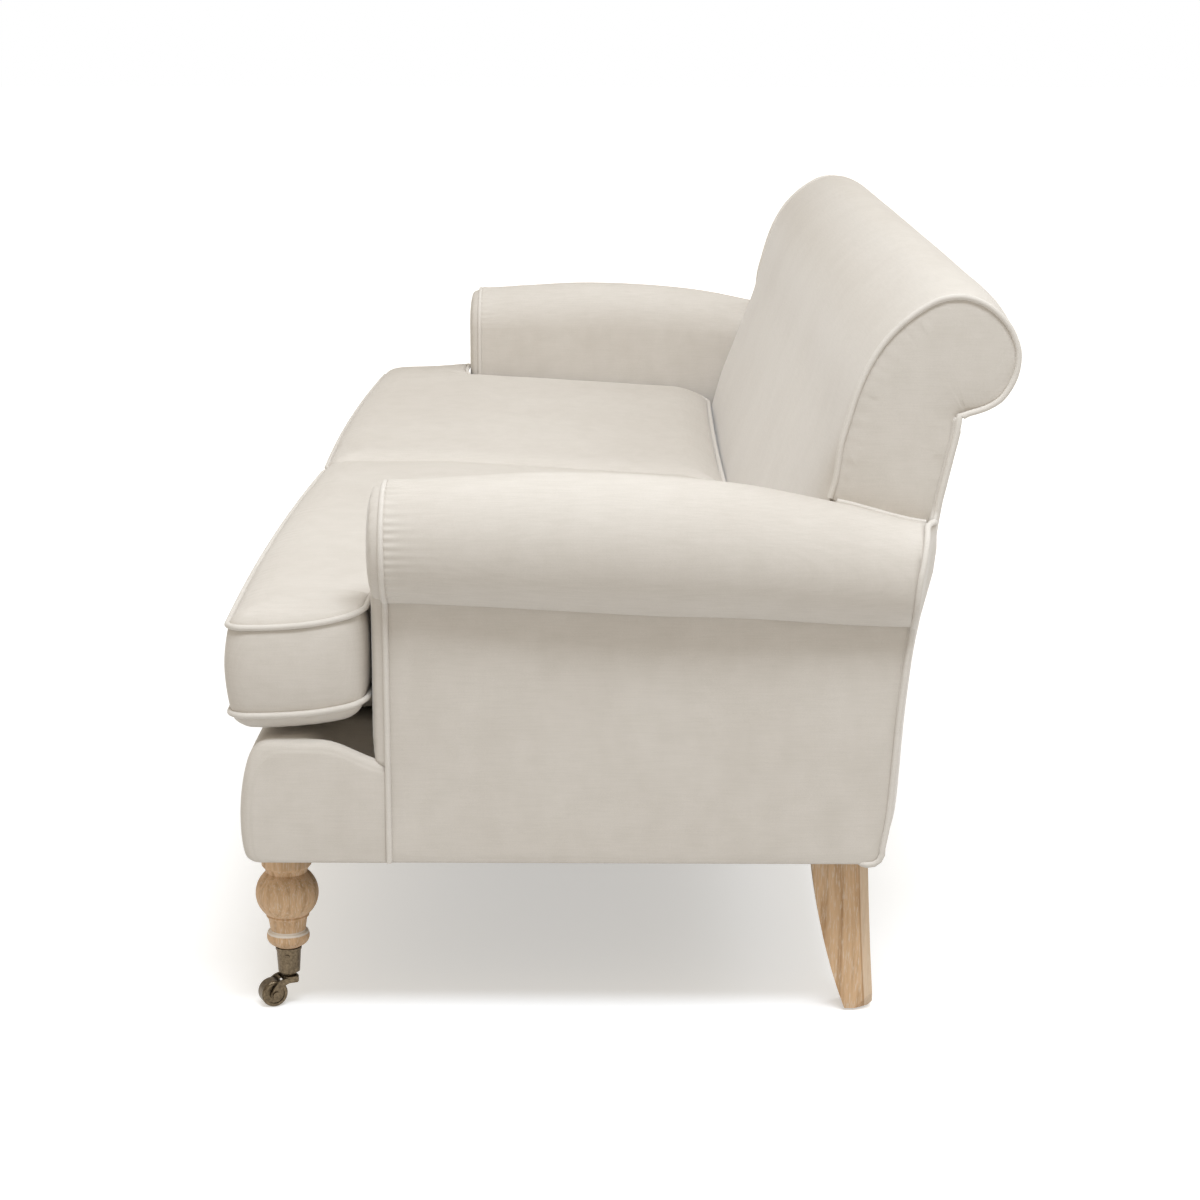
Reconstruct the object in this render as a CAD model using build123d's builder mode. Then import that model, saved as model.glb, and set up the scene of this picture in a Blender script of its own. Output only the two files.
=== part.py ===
from build123d import *
import os
from math import cos, radians, sin, sqrt

# Roll-arm sofa with a tight scroll-over back and two loose half-T seat cushions, in millimetres.
# X runs along the sofa, -Y is its front and +Z is up. The origin lies on the floor under the middle.
# Left and right are those of a person who sits in it, so left is +X.

os.makedirs("parts", exist_ok=True)

# Whole sofa
overall_width = 2200
frame_base = 200
fit = 0.5
soft_gap = 0.6

# Arms, across the sofa
roll_radius = 80.5
panel_overhang = 55
panel_thick = 10
side_rail_thick = 45
post_thick = 23
arm_wall = 18
end_panel_thick = 11

# Arms, along the sofa's depth
arm_front = -266
facing_depth = 19
facing_round = 12
facing_foot = 115
facing_neck_round = 14
board_thick = 18
board_inset = 2
stump_depth = 60
arm_rail_height = 45
arm_rail_front_height = 312
arm_rail_rear_height = 290
tack_rail_thick = 20
tack_rail_height = 40
panel_mid_y = 37
panel_top_front = 304
panel_top_mid = 290
panel_top_rear = 275
cut_reach = 100

# Arm roll: share of the arm's length, thinning of the roll, height of its axis over the frame base
roll_stations = [
    (0.00, 11.0, 374.5),
    (0.10, 7.0, 375.5),
    (0.28, 2.0, 375.5),
    (0.47, 0.0, 371.0),
    (0.66, 4.0, 363.5),
    (0.85, 11.5, 349.0),
    (1.00, 22.0, 333.5),
]
roll_rear = 352

# Seat base
border_bulge = 30
border_height = 145
bulge_mid = 45
bulge_top = 110
border_foot_set = 8
border_brow_set = 6
border_brow_bend = (11, 8)
border_round = 20
rail_front = -405
front_rail_thick = 40
front_rail_height = 120
side_rail_height = 90
rear_rail_thick = 35
stretcher_width = 40
stretcher_height = 60
stretcher_spread = 640
corner_block = 70
corner_block_height = 45
deck_thick = 17.5
dust_cover_thick = 1.0
dust_cover_margin = 6
leg_hole_clear = 1.5
rear_leg_hole = 84

# Seat webbing
seat_web_count = 12
seat_web_spread = 1740
seat_web_width = 70
seat_web_thick = 2

# Back: outside line as depth and height over the frame base at the foot, the bend and the neck
back_foot = (308, 0)
back_bend = (340, 270)
back_neck = (391, 515)
back_panel_thick = 10
back_panel_gap = 1
post_front = 245
web_lean = 0.236
top_stuffing = 61
top_rail_height = 90
back_rail_low = 140
back_rail_height = 50
back_rail_thick = 26
mid_post_width = 30
mid_post_x = 330
web_thick = 1.5
web_width = 50
web_count = 10
web_spread = 1640
web_overlap = 30
back_end_inset = 100
crest_gap = 1.5
crest_span = (100, 500)
roll_end_lap = 2.5
roll_end_rise = 6.5

# Front of the back from the deck up and over the scroll: depth and height over the frame base,
# as the middle and the end of one arc after another. The last arc ends at the neck
back_start = 160
back_profile = [
    (154.5, 195),
    (164, 247),
    (183, 310),
    (208, 376),
    (232, 440),
    (262, 516),
    (290, 584),
    (338, 634),
    (384, 651),
    (428, 632),
    (452, 586),
    (433, 534),
    (414, 523),
]

# Seat cushions
seat_front = -452.5
seat_rear = 152
cushion_gap = 1.0
cushion_side_gap = 2.5
cushion_lift_gap = 0.4
cushion_thick = 157
cushion_boxing = 103
cushion_corner = 20
cushion_draw = 4
cushion_swell = 1.5
# Share of the crown's height and how far the cushion's outline stands in there
cushion_levels = [(0, 46), (0.30, 22), (0.72, 6), (1, 2)]

# Front legs, by height over the floor
leg_inset_side = 130
front_leg_y = -393
leg_flange_radius = 29.5
leg_flange_edge = 174
leg_flange_foot = 171.5
leg_flange_chamfer = 2
leg_cove_radius = 24.6
leg_cove_bend = (25.3, 168)
leg_cove_height = 165
leg_bulb_radius = 37.4
leg_bulb_height = 139
leg_bulb_foot = 112.4
leg_bead_bend = (25.6, 110.8)
leg_neck_top = (23.6, 109.2)
leg_neck_radius = 20.8
leg_neck_bend = (21.9, 100)
leg_neck_foot = 92
leg_ring_top = (23.8, 90.8)
leg_ring_radius = 25.5
leg_ring_height = 84.5
leg_ring_foot = 74
leg_ring_foot_radius = 17.8
leg_foot_height = 46.5
leg_foot_radius = 11.7
leg_shoulder_height = 71
leg_shoulder_radius = 13.3

# Rear legs
rear_leg_thick = 44
rear_leg_bevel = 12
rear_leg_bolt_y = 262
leg_top_front = 228
leg_top_rear = 295
leg_mid_front = 241.5
leg_mid_rear = 299
leg_mid_height = 105
leg_toe_front = 271
leg_toe_rear = 305
leg_toe_round = 5
glide_thick = 3
glide_radius = 11

# Hanger bolts
bolt_radius = 5
bolt_in_leg = 38
bolt_in_rail = 55
bolt_clear = 0.05

# Casters
caster_yaw = 25
cup_wall = 1.6
cup_floor = 3
cup_rim = 0.8
cup_rim_height = 3
cup_boss_radius = 8.5
cup_boss_height = 4
wheel_radius = 16
wheel_width = 20
wheel_round = 3
wheel_recess_radius = 11.5
wheel_recess_depth = 1.2
caster_trail = 21
ear_thick = 3.5
ear_radius = 6.5
wheel_side_gap = 0.5
horn_crown_height = 6.5
swivel_gap = 0.3
pivot_radius = 3
pivot_head_radius = 5
pivot_head_height = 2
pivot_head_clear = 1
ear_set = 2
ear_drop = 1
strap_bend = (17.5, 31)
strap_hollow = (11.5, 24.5)
axle_radius = 2.5
axle_head_radius = 4.5
axle_head_height = 2
pin_clear = 0.05
cup_screw_radius = 1.5
cup_screw_head_radius = 3.2
cup_screw_head_height = 1.4
cup_screw_length = 12
cup_screw_height = 61

# Places that follow from the sizes above
half_width = overall_width / 2
roll_x = half_width - roll_radius
panel_x = half_width - panel_overhang
timber_x = panel_x - panel_thick - fit
rail_in_x = timber_x - side_rail_thick
post_out_x = rail_in_x - fit
post_in_x = post_out_x - post_thick
wall_out_x = post_in_x - fit
wall_in_x = wall_out_x - arm_wall
back_end_x = half_width - back_end_inset
board_rear = arm_front + fit + board_thick
roll_front = board_rear + fit
facing_front = arm_front - facing_depth
border_front = rail_front - border_bulge
border_top = frame_base + border_height
side_rail_top = frame_base + side_rail_height
front_rail_top = frame_base + front_rail_height
front_rail_rear = rail_front + front_rail_thick
arm_clear_x = half_width - 2 * roll_radius - soft_gap
leg_x = half_width - leg_inset_side
rear_bolt_x = (post_in_x + post_out_x) / 2
deck_top = border_top
web_start_height = back_rail_low + back_rail_height
post_top_height = max(h for _, h in back_profile) - top_stuffing
crest_share, crest_thinning, crest_axis = roll_stations[-2]
roll_end_thinning, roll_end_axis = roll_stations[-1][1:]
crest_y = roll_front + crest_share * (roll_rear - roll_front)
crest_height = crest_axis + roll_radius - crest_thinning + crest_gap
crest_slope = (roll_end_axis - roll_end_thinning - crest_axis + crest_thinning) / (roll_rear - crest_y)
roll_end_radius = roll_radius - roll_end_thinning + roll_end_lap
roll_end_height = roll_end_axis + roll_end_rise


def up(height):
    return frame_base + height


def back_line(height):
    # Depth of the outside back at a height over the frame base
    low, high = (back_foot, back_bend) if height < back_bend[1] else (back_bend, back_neck)
    return low[0] + (high[0] - low[0]) * (height - low[1]) / (high[1] - low[1])


def post_rear(height):
    return back_line(height) - back_panel_thick - back_panel_gap


def web_line(height):
    # Front faces of the back frame, which the webbing lies on
    return post_front + web_lean * max(0, height - web_start_height)


def arm_rail_foot(y):
    slope = (arm_rail_rear_height - arm_rail_front_height) / (roll_rear - roll_front)
    return arm_rail_front_height + slope * (y - roll_front)


def keep(piece, name):
    piece.label = name
    export_step(piece, f"parts/{name}.step")


def keep_pair(piece, name):
    keep(piece, "left_" + name)
    keep(mirror(piece, about=Plane.YZ), "right_" + name)


def side_prism(points, x_from, x_to):
    # Straight piece with a side outline of depths and heights over the frame base
    with BuildPart() as prism:
        with BuildSketch(Plane.YZ.offset(x_from)):
            with BuildLine():
                Polyline(*[(y, up(h)) for y, h in points], close=True)
            make_face()
        extrude(amount=x_to - x_from)
    return prism.part


# Seat frame: front rail, rear rail, side rails, stretchers and corner blocks
front_bolt_places = [(x, front_leg_y) for x in (-leg_x, leg_x)]
with BuildPart() as front_rail:
    with BuildSketch(Plane.XY.offset(frame_base)):
        with Locations((0, rail_front + front_rail_thick / 2)):
            Rectangle(2 * timber_x, front_rail_thick)
    extrude(amount=front_rail_height)
    with BuildSketch(Plane.XY.offset(frame_base)):
        with Locations(*front_bolt_places):
            Circle(bolt_radius + bolt_clear)
    extrude(amount=bolt_in_rail + fit, mode=Mode.SUBTRACT)
keep(front_rail.part, "front_seat_rail")

rear_rail_back = post_rear(0)
rear_rail_front = rear_rail_back - rear_rail_thick
with BuildPart() as rear_rail:
    with BuildSketch(Plane.XY.offset(frame_base)):
        with Locations((0, (rear_rail_front + rear_rail_back) / 2)):
            Rectangle(2 * (post_in_x - fit), rear_rail_thick)
    extrude(amount=front_rail_height)
keep(rear_rail.part, "rear_seat_rail")

side_rail_y0 = front_rail_rear + fit
with BuildPart() as side_rail:
    with BuildSketch(Plane.XY.offset(frame_base)):
        with Locations(((rail_in_x + timber_x) / 2, (side_rail_y0 + rear_rail_back) / 2)):
            Rectangle(side_rail_thick, rear_rail_back - side_rail_y0)
    extrude(amount=side_rail_height)
keep_pair(side_rail.part, "side_rail")

stretcher_length = rear_rail_front - front_rail_rear - 2 * fit
with BuildPart() as seat_stretchers:
    with BuildSketch(Plane.XY.offset(frame_base)):
        with Locations((0, (front_rail_rear + rear_rail_front) / 2)):
            with GridLocations(stretcher_spread, 0, 2, 1):
                Rectangle(stretcher_width, stretcher_length)
    extrude(amount=stretcher_height)
keep(seat_stretchers.part, "seat_stretchers")

with BuildPart() as corner_blocks:
    for side in (-1, 1):
        for y, turn, x in (
            (front_rail_rear + fit, 1, rail_in_x - fit),
            (rear_rail_front - fit, -1, post_in_x - fit),
        ):
            with BuildSketch(Plane.XY.offset(frame_base)):
                with BuildLine():
                    Polyline(
                        (side * x, y),
                        (side * (x - corner_block), y),
                        (side * x, y + turn * corner_block),
                        close=True,
                    )
                make_face()
            extrude(amount=corner_block_height)
keep(corner_blocks.part, "corner_blocks")

# Arm frame: front board with a round head, stump, top rail and tack rail
board_radius = roll_radius - roll_stations[0][1] - board_inset
board_head = up(roll_stations[0][2])
with BuildPart() as front_board:
    with BuildSketch(Plane.XZ.offset(-board_rear)):
        with Locations((roll_x, board_head)):
            Circle(board_radius)
        with BuildLine():
            Polyline(
                (roll_x - board_radius, side_rail_top + fit),
                (timber_x, side_rail_top + fit),
                (timber_x, board_head),
                (roll_x - board_radius, board_head),
                close=True,
            )
        make_face()
    extrude(amount=board_thick)
keep_pair(front_board.part, "arm_front_board")

stump_rear = roll_front + stump_depth
stump = side_prism(
    [
        (roll_front, side_rail_height + fit),
        (stump_rear, side_rail_height + fit),
        (stump_rear, arm_rail_foot(stump_rear) - fit),
        (roll_front, arm_rail_foot(roll_front) - fit),
    ],
    rail_in_x,
    timber_x,
)
keep_pair(stump, "arm_stump")

arm_rail_rear = post_rear(arm_rail_rear_height) - 2 * fit
arm_rail = side_prism(
    [
        (roll_front, arm_rail_foot(roll_front)),
        (arm_rail_rear, arm_rail_foot(arm_rail_rear)),
        (arm_rail_rear, arm_rail_foot(arm_rail_rear) + arm_rail_height),
        (roll_front, arm_rail_foot(roll_front) + arm_rail_height),
    ],
    rail_in_x,
    timber_x,
)
keep_pair(arm_rail, "arm_top_rail")

tack_rail = side_prism(
    [
        (roll_front, border_height),
        (post_front - fit, border_height),
        (post_front - fit, border_height + tack_rail_height),
        (roll_front, border_height + tack_rail_height),
    ],
    post_in_x,
    post_in_x + tack_rail_thick,
)
keep_pair(tack_rail, "arm_tack_rail")

# Back frame: raked end posts, middle posts, top rail and tack rails
post_outline = [
    (post_front, 0),
    (post_front, web_start_height),
    (web_line(post_top_height), post_top_height),
    (post_rear(post_top_height), post_top_height),
    (post_rear(back_bend[1]), back_bend[1]),
    (post_rear(0), 0),
]
with BuildPart() as back_post:
    add(side_prism(post_outline, post_in_x, post_out_x))
    with BuildSketch(Plane.XY.offset(frame_base)):
        with Locations((rear_bolt_x, rear_leg_bolt_y)):
            Circle(bolt_radius + bolt_clear)
    extrude(amount=bolt_in_rail + fit, mode=Mode.SUBTRACT)
keep_pair(back_post.part, "back_post")

top_rail_foot = post_top_height - top_rail_height
top_rail = side_prism(
    [
        (web_line(top_rail_foot), top_rail_foot),
        (web_line(post_top_height), post_top_height),
        (post_rear(post_top_height), post_top_height),
        (post_rear(top_rail_foot), top_rail_foot),
    ],
    -(post_in_x - fit),
    post_in_x - fit,
)
keep(top_rail, "back_top_rail")

mid_post_foot = front_rail_height + fit
mid_post_head = top_rail_foot - fit
mid_outline = [
    (rear_rail_front, mid_post_foot),
    (web_line(mid_post_foot) + back_rail_thick + fit, back_rail_low),
    (web_line(mid_post_foot) + back_rail_thick + fit, back_rail_low + back_rail_height),
    (web_line(mid_post_head), mid_post_head),
    (post_rear(mid_post_head), mid_post_head),
    (post_rear(back_bend[1]), back_bend[1]),
    (post_rear(mid_post_foot), mid_post_foot),
]
with BuildPart() as mid_posts:
    for side in (-1, 1):
        with BuildSketch(Plane.YZ.offset(side * mid_post_x - mid_post_width / 2)):
            with BuildLine():
                Polyline(*[(y, up(h)) for y, h in mid_outline], close=True)
            make_face()
        extrude(amount=mid_post_width)
keep(mid_posts.part, "middle_back_posts")

back_rail = side_prism(
    [
        (post_front, back_rail_low),
        (post_front + back_rail_thick, back_rail_low),
        (post_front + back_rail_thick, back_rail_low + back_rail_height),
        (post_front, back_rail_low + back_rail_height),
    ],
    -(post_in_x - fit),
    post_in_x - fit,
)
keep(back_rail, "back_tack_rail")

# Back webbing: straps from the tack rail up to the top rail
web_foot = back_rail_low + back_rail_height - web_overlap
web_head = top_rail_foot + web_overlap
with BuildPart() as back_webbing:
    with BuildSketch(Plane.YZ) as strap_outline:
        with BuildLine():
            Polyline(
                (web_line(web_foot), up(web_foot)),
                (web_line(web_start_height), up(web_start_height)),
                (web_line(web_head), up(web_head)),
                (web_line(web_head) - web_thick, up(web_head)),
                (web_line(web_start_height) - web_thick, up(web_start_height)),
                (web_line(web_foot) - web_thick, up(web_foot)),
                close=True,
            )
        make_face()
    for number in range(web_count):
        place = -web_spread / 2 + number * web_spread / (web_count - 1)
        extrude(strap_outline.sketch.moved(Location((place - web_width / 2, 0, 0))), amount=web_width)
keep(back_webbing.part, "back_webbing")

# Elastic seat webbing, stretched over the front and rear rails
with BuildPart() as seat_webbing:
    with BuildSketch(Plane.XY.offset(front_rail_top)):
        with Locations((0, (rail_front + rear_rail_back) / 2)):
            with GridLocations(seat_web_spread / (seat_web_count - 1), 0, seat_web_count, 1):
                Rectangle(seat_web_width, rear_rail_back - rail_front - front_rail_thick / 2)
    extrude(amount=seat_web_thick)
keep(seat_webbing.part, "seat_webbing")

# Seat deck over the webbing, and the dust cover under the frame
deck_front = arm_front + soft_gap
deck_rear = post_front - soft_gap
deck_half = arm_clear_x - soft_gap
with BuildPart() as seat_deck:
    with BuildSketch(Plane.XY.offset(deck_top - deck_thick)):
        with Locations((0, (deck_front + deck_rear) / 2)):
            Rectangle(2 * deck_half, deck_rear - deck_front)
    extrude(amount=deck_thick)
keep(seat_deck.part, "seat_deck")

leg_hole = leg_flange_radius + leg_hole_clear
with BuildPart() as dust_cover:
    with BuildSketch(Plane.XY.offset(frame_base - dust_cover_thick)):
        with Locations((0, (rail_front + rear_rail_back) / 2)):
            Rectangle(2 * (timber_x - dust_cover_margin), rear_rail_back - rail_front - 2 * dust_cover_margin)
        with Locations(*front_bolt_places):
            Circle(leg_hole, mode=Mode.SUBTRACT)
        with Locations(*[(x, rear_leg_bolt_y) for x in (-leg_x, leg_x)]):
            Rectangle(rear_leg_hole, rear_leg_hole, mode=Mode.SUBTRACT)
    extrude(amount=dust_cover_thick)
keep(dust_cover.part, "dust_cover")


# Padded front border: bulging front, lip on top, ends that run back to the arm panels
with BuildPart() as front_border:
    with BuildSketch(Plane.YZ.offset(-panel_x)):
        with BuildLine():
            foot = (border_front + border_foot_set, frame_base)
            shoulder = (border_front + border_brow_set, up(bulge_top))
            brow_bend = (border_front + border_brow_bend[0], border_top - border_brow_bend[1])
            brow = (border_front + border_brow_set + border_round, border_top)
            ThreePointArc(foot, (border_front, up(bulge_mid)), shoulder)
            ThreePointArc(shoulder, brow_bend, brow)
            Polyline(brow, (arm_front, border_top), (arm_front, frame_base), foot)
        make_face()
    extrude(amount=2 * panel_x)
    with BuildSketch(Plane.XY.offset(frame_base)):
        with Locations((0, (rail_front - fit + arm_front) / 2)):
            Rectangle(2 * (timber_x + fit), arm_front - rail_front + fit)
    extrude(amount=border_height - deck_thick, mode=Mode.SUBTRACT)
    notch_front = facing_front - soft_gap
    notch_in = roll_x - board_radius - 2 * soft_gap - board_inset
    for side in (-1, 1):
        with BuildSketch(Plane.XY.offset(up(facing_foot) - soft_gap)):
            with Locations((side * (notch_in + panel_x) / 2, (notch_front + arm_front) / 2)):
                Rectangle(panel_x - notch_in, arm_front - notch_front)
        extrude(amount=border_height, mode=Mode.SUBTRACT)
keep(front_border.part, "front_border")

# Padded arm facing: round head on a straight leg
facing_radius = board_radius + board_inset
with BuildPart() as arm_facing:
    with BuildSketch(Plane.XZ.offset(-arm_front)) as facing_outline:
        with Locations((roll_x, board_head)):
            Circle(facing_radius)
        with BuildLine():
            Polyline(
                (roll_x - facing_radius, up(facing_foot)),
                (panel_x, up(facing_foot)),
                (panel_x, board_head),
                (roll_x - facing_radius, board_head),
                close=True,
            )
        make_face()
        neck = [v for v in facing_outline.vertices() if abs(v.X - panel_x) < 1 and v.Z > up(facing_foot) + 1]
        fillet(neck, facing_neck_round)
    extrude(amount=facing_depth)
    fillet(arm_facing.edges().group_by(Axis.Y)[0], facing_round)
keep_pair(arm_facing.part, "arm_facing")

# Outside arm panel: from the facing back to the outside back, up to the roll's underside
outside_arm = side_prism(
    [
        (arm_front + fit, 0),
        (back_line(0) - back_panel_thick - fit, 0),
        (back_line(back_bend[1]) - back_panel_thick - fit, back_bend[1]),
        (back_line(panel_top_rear) - back_panel_thick - fit, panel_top_rear),
        (panel_mid_y, panel_top_mid),
        (arm_front + fit, panel_top_front),
    ],
    timber_x + fit,
    panel_x,
)
keep_pair(outside_arm, "outside_arm_panel")


# Arm pad: the stuffed roll over the top rail and the inside arm below it, lofted from front to rear
def arm_section(share, thinning, height):
    y = roll_front + share * (roll_rear - roll_front)
    r = roll_radius - thinning
    z = up(height)
    slot_out = timber_x + soft_gap
    slot_in = rail_in_x - soft_gap
    slot_top = up(arm_rail_foot(y) + arm_rail_height) + soft_gap
    step = up(arm_rail_foot(y)) - soft_gap
    foot = side_rail_top + soft_gap
    lip_drop = sqrt(r * r - (slot_out - roll_x) ** 2)
    slant = sqrt(0.5) * r
    with BuildSketch(Plane.XZ.offset(-y)) as section:
        with BuildLine():
            Line((wall_in_x, foot), (roll_x - r, z))
            ThreePointArc((roll_x - r, z), (roll_x - slant, z + slant), (roll_x, z + r))
            ThreePointArc((roll_x, z + r), (roll_x + slant, z + slant), (roll_x + r, z))
            ThreePointArc((roll_x + r, z), (roll_x + slant, z - slant), (slot_out, z - lip_drop))
            Polyline(
                (slot_out, z - lip_drop),
                (slot_out, slot_top),
                (slot_in, slot_top),
                (slot_in, step),
                (wall_out_x, step),
                (wall_out_x, foot),
                (wall_in_x, foot),
            )
        make_face()
    return section.sketch


post_clear = [
    (post_front - soft_gap, -fit),
    (post_front - soft_gap, web_start_height),
    (web_line(post_top_height) - soft_gap, post_top_height),
    (roll_rear + cut_reach, post_top_height),
    (roll_rear + cut_reach, -fit),
]
with BuildPart() as arm_pad:
    loft([arm_section(*station) for station in roll_stations])
    with BuildSketch(Plane.YZ.offset(wall_in_x - arm_wall)):
        with BuildLine():
            Polyline(*[(y, up(h)) for y, h in post_clear], close=True)
        make_face()
    extrude(amount=post_out_x + fit - wall_in_x + arm_wall, mode=Mode.SUBTRACT)
    with BuildSketch(Plane.YZ.offset(roll_x - 2 * roll_radius)):
        with BuildLine():
            Polyline(
                (post_rear(back_bend[1]) + fit, up(back_bend[1])),
                (post_rear(post_top_height) + fit, up(post_top_height)),
                (roll_rear + cut_reach, up(post_top_height)),
                (roll_rear + cut_reach, up(0)),
                (post_rear(0) + fit, up(0)),
                close=True,
            )
        make_face()
    extrude(amount=4 * roll_radius, mode=Mode.SUBTRACT)
keep_pair(arm_pad.part, "arm_pad")


# Inside back pad: lumbar swell, scroll-over top and the slot that takes the back frame
def crest(y):
    # Height over the frame base just above the arm roll, where the back's ends stand
    return crest_height + crest_slope * (y - crest_y)


def below_crest():
    # Outline of all that lies under the crest
    front, rear = crest_span
    Polyline((front, up(crest(front))), (rear, up(crest(rear))), (rear, up(0)), (front, up(0)), close=True)


def back_outline():
    # Front of the back from the deck up, over the scroll and round to the neck
    start = (back_start, up(border_height) + soft_gap)
    corners = [(y, up(h)) for y, h in back_profile] + [(back_neck[0], up(back_neck[1]) + fit)]
    here = start
    for middle, end in zip(corners[::2], corners[1::2]):
        ThreePointArc(here, middle, end)
        here = end
    return start


with BuildPart() as back_pad:
    for x_from, x_to in (
        (-arm_clear_x, arm_clear_x),
        (arm_clear_x, back_end_x - end_panel_thick - fit),
        (-(back_end_x - end_panel_thick - fit), -arm_clear_x),
    ):
        with BuildSketch(Plane.YZ.offset(x_from)):
            with BuildLine():
                start = back_outline()
                Polyline(
                    (back_neck[0], up(back_neck[1]) + fit),
                    (post_rear(back_neck[1]) + soft_gap, up(back_neck[1]) + fit),
                    (post_rear(post_top_height) + soft_gap, up(post_top_height) + soft_gap),
                    (web_line(post_top_height) - web_thick - soft_gap, up(post_top_height) + soft_gap),
                    (web_line(web_start_height) - web_thick - soft_gap, up(web_start_height)),
                    (post_front - web_thick - soft_gap, up(border_height) + soft_gap),
                    start,
                )
            make_face()
            if abs(x_from + x_to) > 1:
                with BuildLine():
                    below_crest()
                make_face(mode=Mode.SUBTRACT)
        extrude(amount=x_to - x_from)
keep(back_pad.part, "inside_back_pad")

# End panels of the back, above the arms
with BuildPart() as end_panel:
    with BuildSketch(Plane.YZ.offset(back_end_x - end_panel_thick)):
        with BuildLine():
            start = back_outline()
            Polyline(
                (back_neck[0], up(back_neck[1]) + fit),
                (back_line(back_neck[1]) - back_panel_thick - fit, up(back_neck[1]) + fit),
                (back_line(back_bend[1]) - back_panel_thick - fit, up(back_bend[1])),
                (back_line(back_bend[1]) - back_panel_thick - fit, up(border_height) + soft_gap),
                start,
            )
        make_face()
        with BuildLine():
            below_crest()
        make_face(mode=Mode.SUBTRACT)
    extrude(amount=end_panel_thick)
keep_pair(end_panel.part, "back_end_panel")

# Outside back panel: raked, stepped in above the arm rolls
with BuildPart() as outside_back:
    with BuildSketch(Plane.YZ.offset(-half_width)):
        with BuildLine():
            Polyline(
                (back_foot[0], up(0)),
                (back_bend[0], up(back_bend[1])),
                (back_neck[0], up(back_neck[1])),
                (back_neck[0] - back_panel_thick, up(back_neck[1])),
                (back_bend[0] - back_panel_thick, up(back_bend[1])),
                (back_foot[0] - back_panel_thick, up(0)),
                close=True,
            )
        make_face()
    extrude(amount=2 * half_width)
    with BuildSketch(Plane.XZ.offset(-back_neck[0] - panel_thick)):
        with Locations((0, up(roll_end_height / 2))):
            Rectangle(2 * panel_x, roll_end_height)
        with Locations((0, up(back_neck[1] / 2))):
            Rectangle(2 * back_end_x, back_neck[1])
        with Locations((-roll_x, up(roll_end_height)), (roll_x, up(roll_end_height))):
            Circle(roll_end_radius)
    extrude(amount=back_neck[0], mode=Mode.INTERSECT)
keep(outside_back.part, "outside_back_panel")


# Seat cushions: boxed half-T forms with crowns above and below and drawn-in sides
cushion_foot = deck_top + cushion_lift_gap
ear_rear = facing_front - cushion_gap


def cushion_section(z, inset):
    near = cushion_gap / 2 + inset
    far = arm_clear_x - cushion_side_gap - inset
    ear = panel_x - inset
    front = seat_front + inset
    rear = seat_rear - inset
    notch = ear_rear - inset
    with BuildSketch(Plane.XY.offset(z)) as section:
        with BuildLine():
            ThreePointArc((near, front), ((near + ear) / 2, front + cushion_draw), (ear, front))
            Polyline((ear, front), (ear, notch), (far, notch), (far, rear))
            ThreePointArc((far, rear), ((near + far) / 2, rear - cushion_draw), (near, rear))
            Line((near, rear), (near, front))
        make_face()
        fillet(section.vertices(), cushion_corner)
    return section.sketch


crown = (cushion_thick - cushion_boxing) / 2
cushion_sections = []
for share, inset in cushion_levels:
    cushion_sections.append((cushion_foot + share * crown, inset + cushion_swell))
cushion_sections.append((cushion_foot + cushion_thick / 2, cushion_swell))
for share, inset in reversed(cushion_levels):
    cushion_sections.append((cushion_foot + cushion_thick - share * crown, inset + cushion_swell))
with BuildPart() as seat_cushion:
    loft([cushion_section(z, inset) for z, inset in cushion_sections])
keep_pair(seat_cushion.part, "seat_cushion")

# Turned front legs: flange, cove, bulb, bead, neck and ring, with a tapered foot inside the caster cup
flange_foot = (leg_flange_radius - leg_flange_chamfer, leg_flange_foot)
cove = (leg_cove_radius, leg_cove_height)
bulb_foot = (leg_cove_radius, leg_bulb_foot)
neck_foot = (leg_neck_radius, leg_neck_foot)
ring_foot = (leg_ring_foot_radius, leg_ring_foot)
with BuildPart() as front_leg:
    with BuildSketch(Plane.XZ):
        with BuildLine():
            Polyline(
                (0, frame_base),
                (leg_flange_radius, frame_base),
                (leg_flange_radius, leg_flange_edge),
                flange_foot,
            )
            ThreePointArc(flange_foot, leg_cove_bend, cove)
            ThreePointArc(cove, (leg_bulb_radius, leg_bulb_height), bulb_foot)
            ThreePointArc(bulb_foot, leg_bead_bend, leg_neck_top)
            ThreePointArc(leg_neck_top, leg_neck_bend, neck_foot)
            Line(neck_foot, leg_ring_top)
            ThreePointArc(leg_ring_top, (leg_ring_radius, leg_ring_height), ring_foot)
            Polyline(
                ring_foot,
                (leg_shoulder_radius, leg_shoulder_height),
                (leg_foot_radius, leg_foot_height),
                (0, leg_foot_height),
                (0, frame_base),
            )
        make_face()
    revolve(axis=Axis.Z)
    with BuildSketch(Plane.XY.offset(frame_base)):
        Circle(bolt_radius + bolt_clear)
    extrude(amount=-bolt_in_leg - fit, mode=Mode.SUBTRACT)
    with BuildSketch(Plane.YZ.offset(-leg_flange_radius)):
        with Locations((0, cup_screw_height)):
            Circle(cup_screw_radius + pin_clear)
    extrude(amount=2 * leg_flange_radius, mode=Mode.SUBTRACT)
leg_place = Location((leg_x, front_leg_y, 0))
keep_pair(front_leg.part.moved(leg_place), "front_leg")

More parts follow.
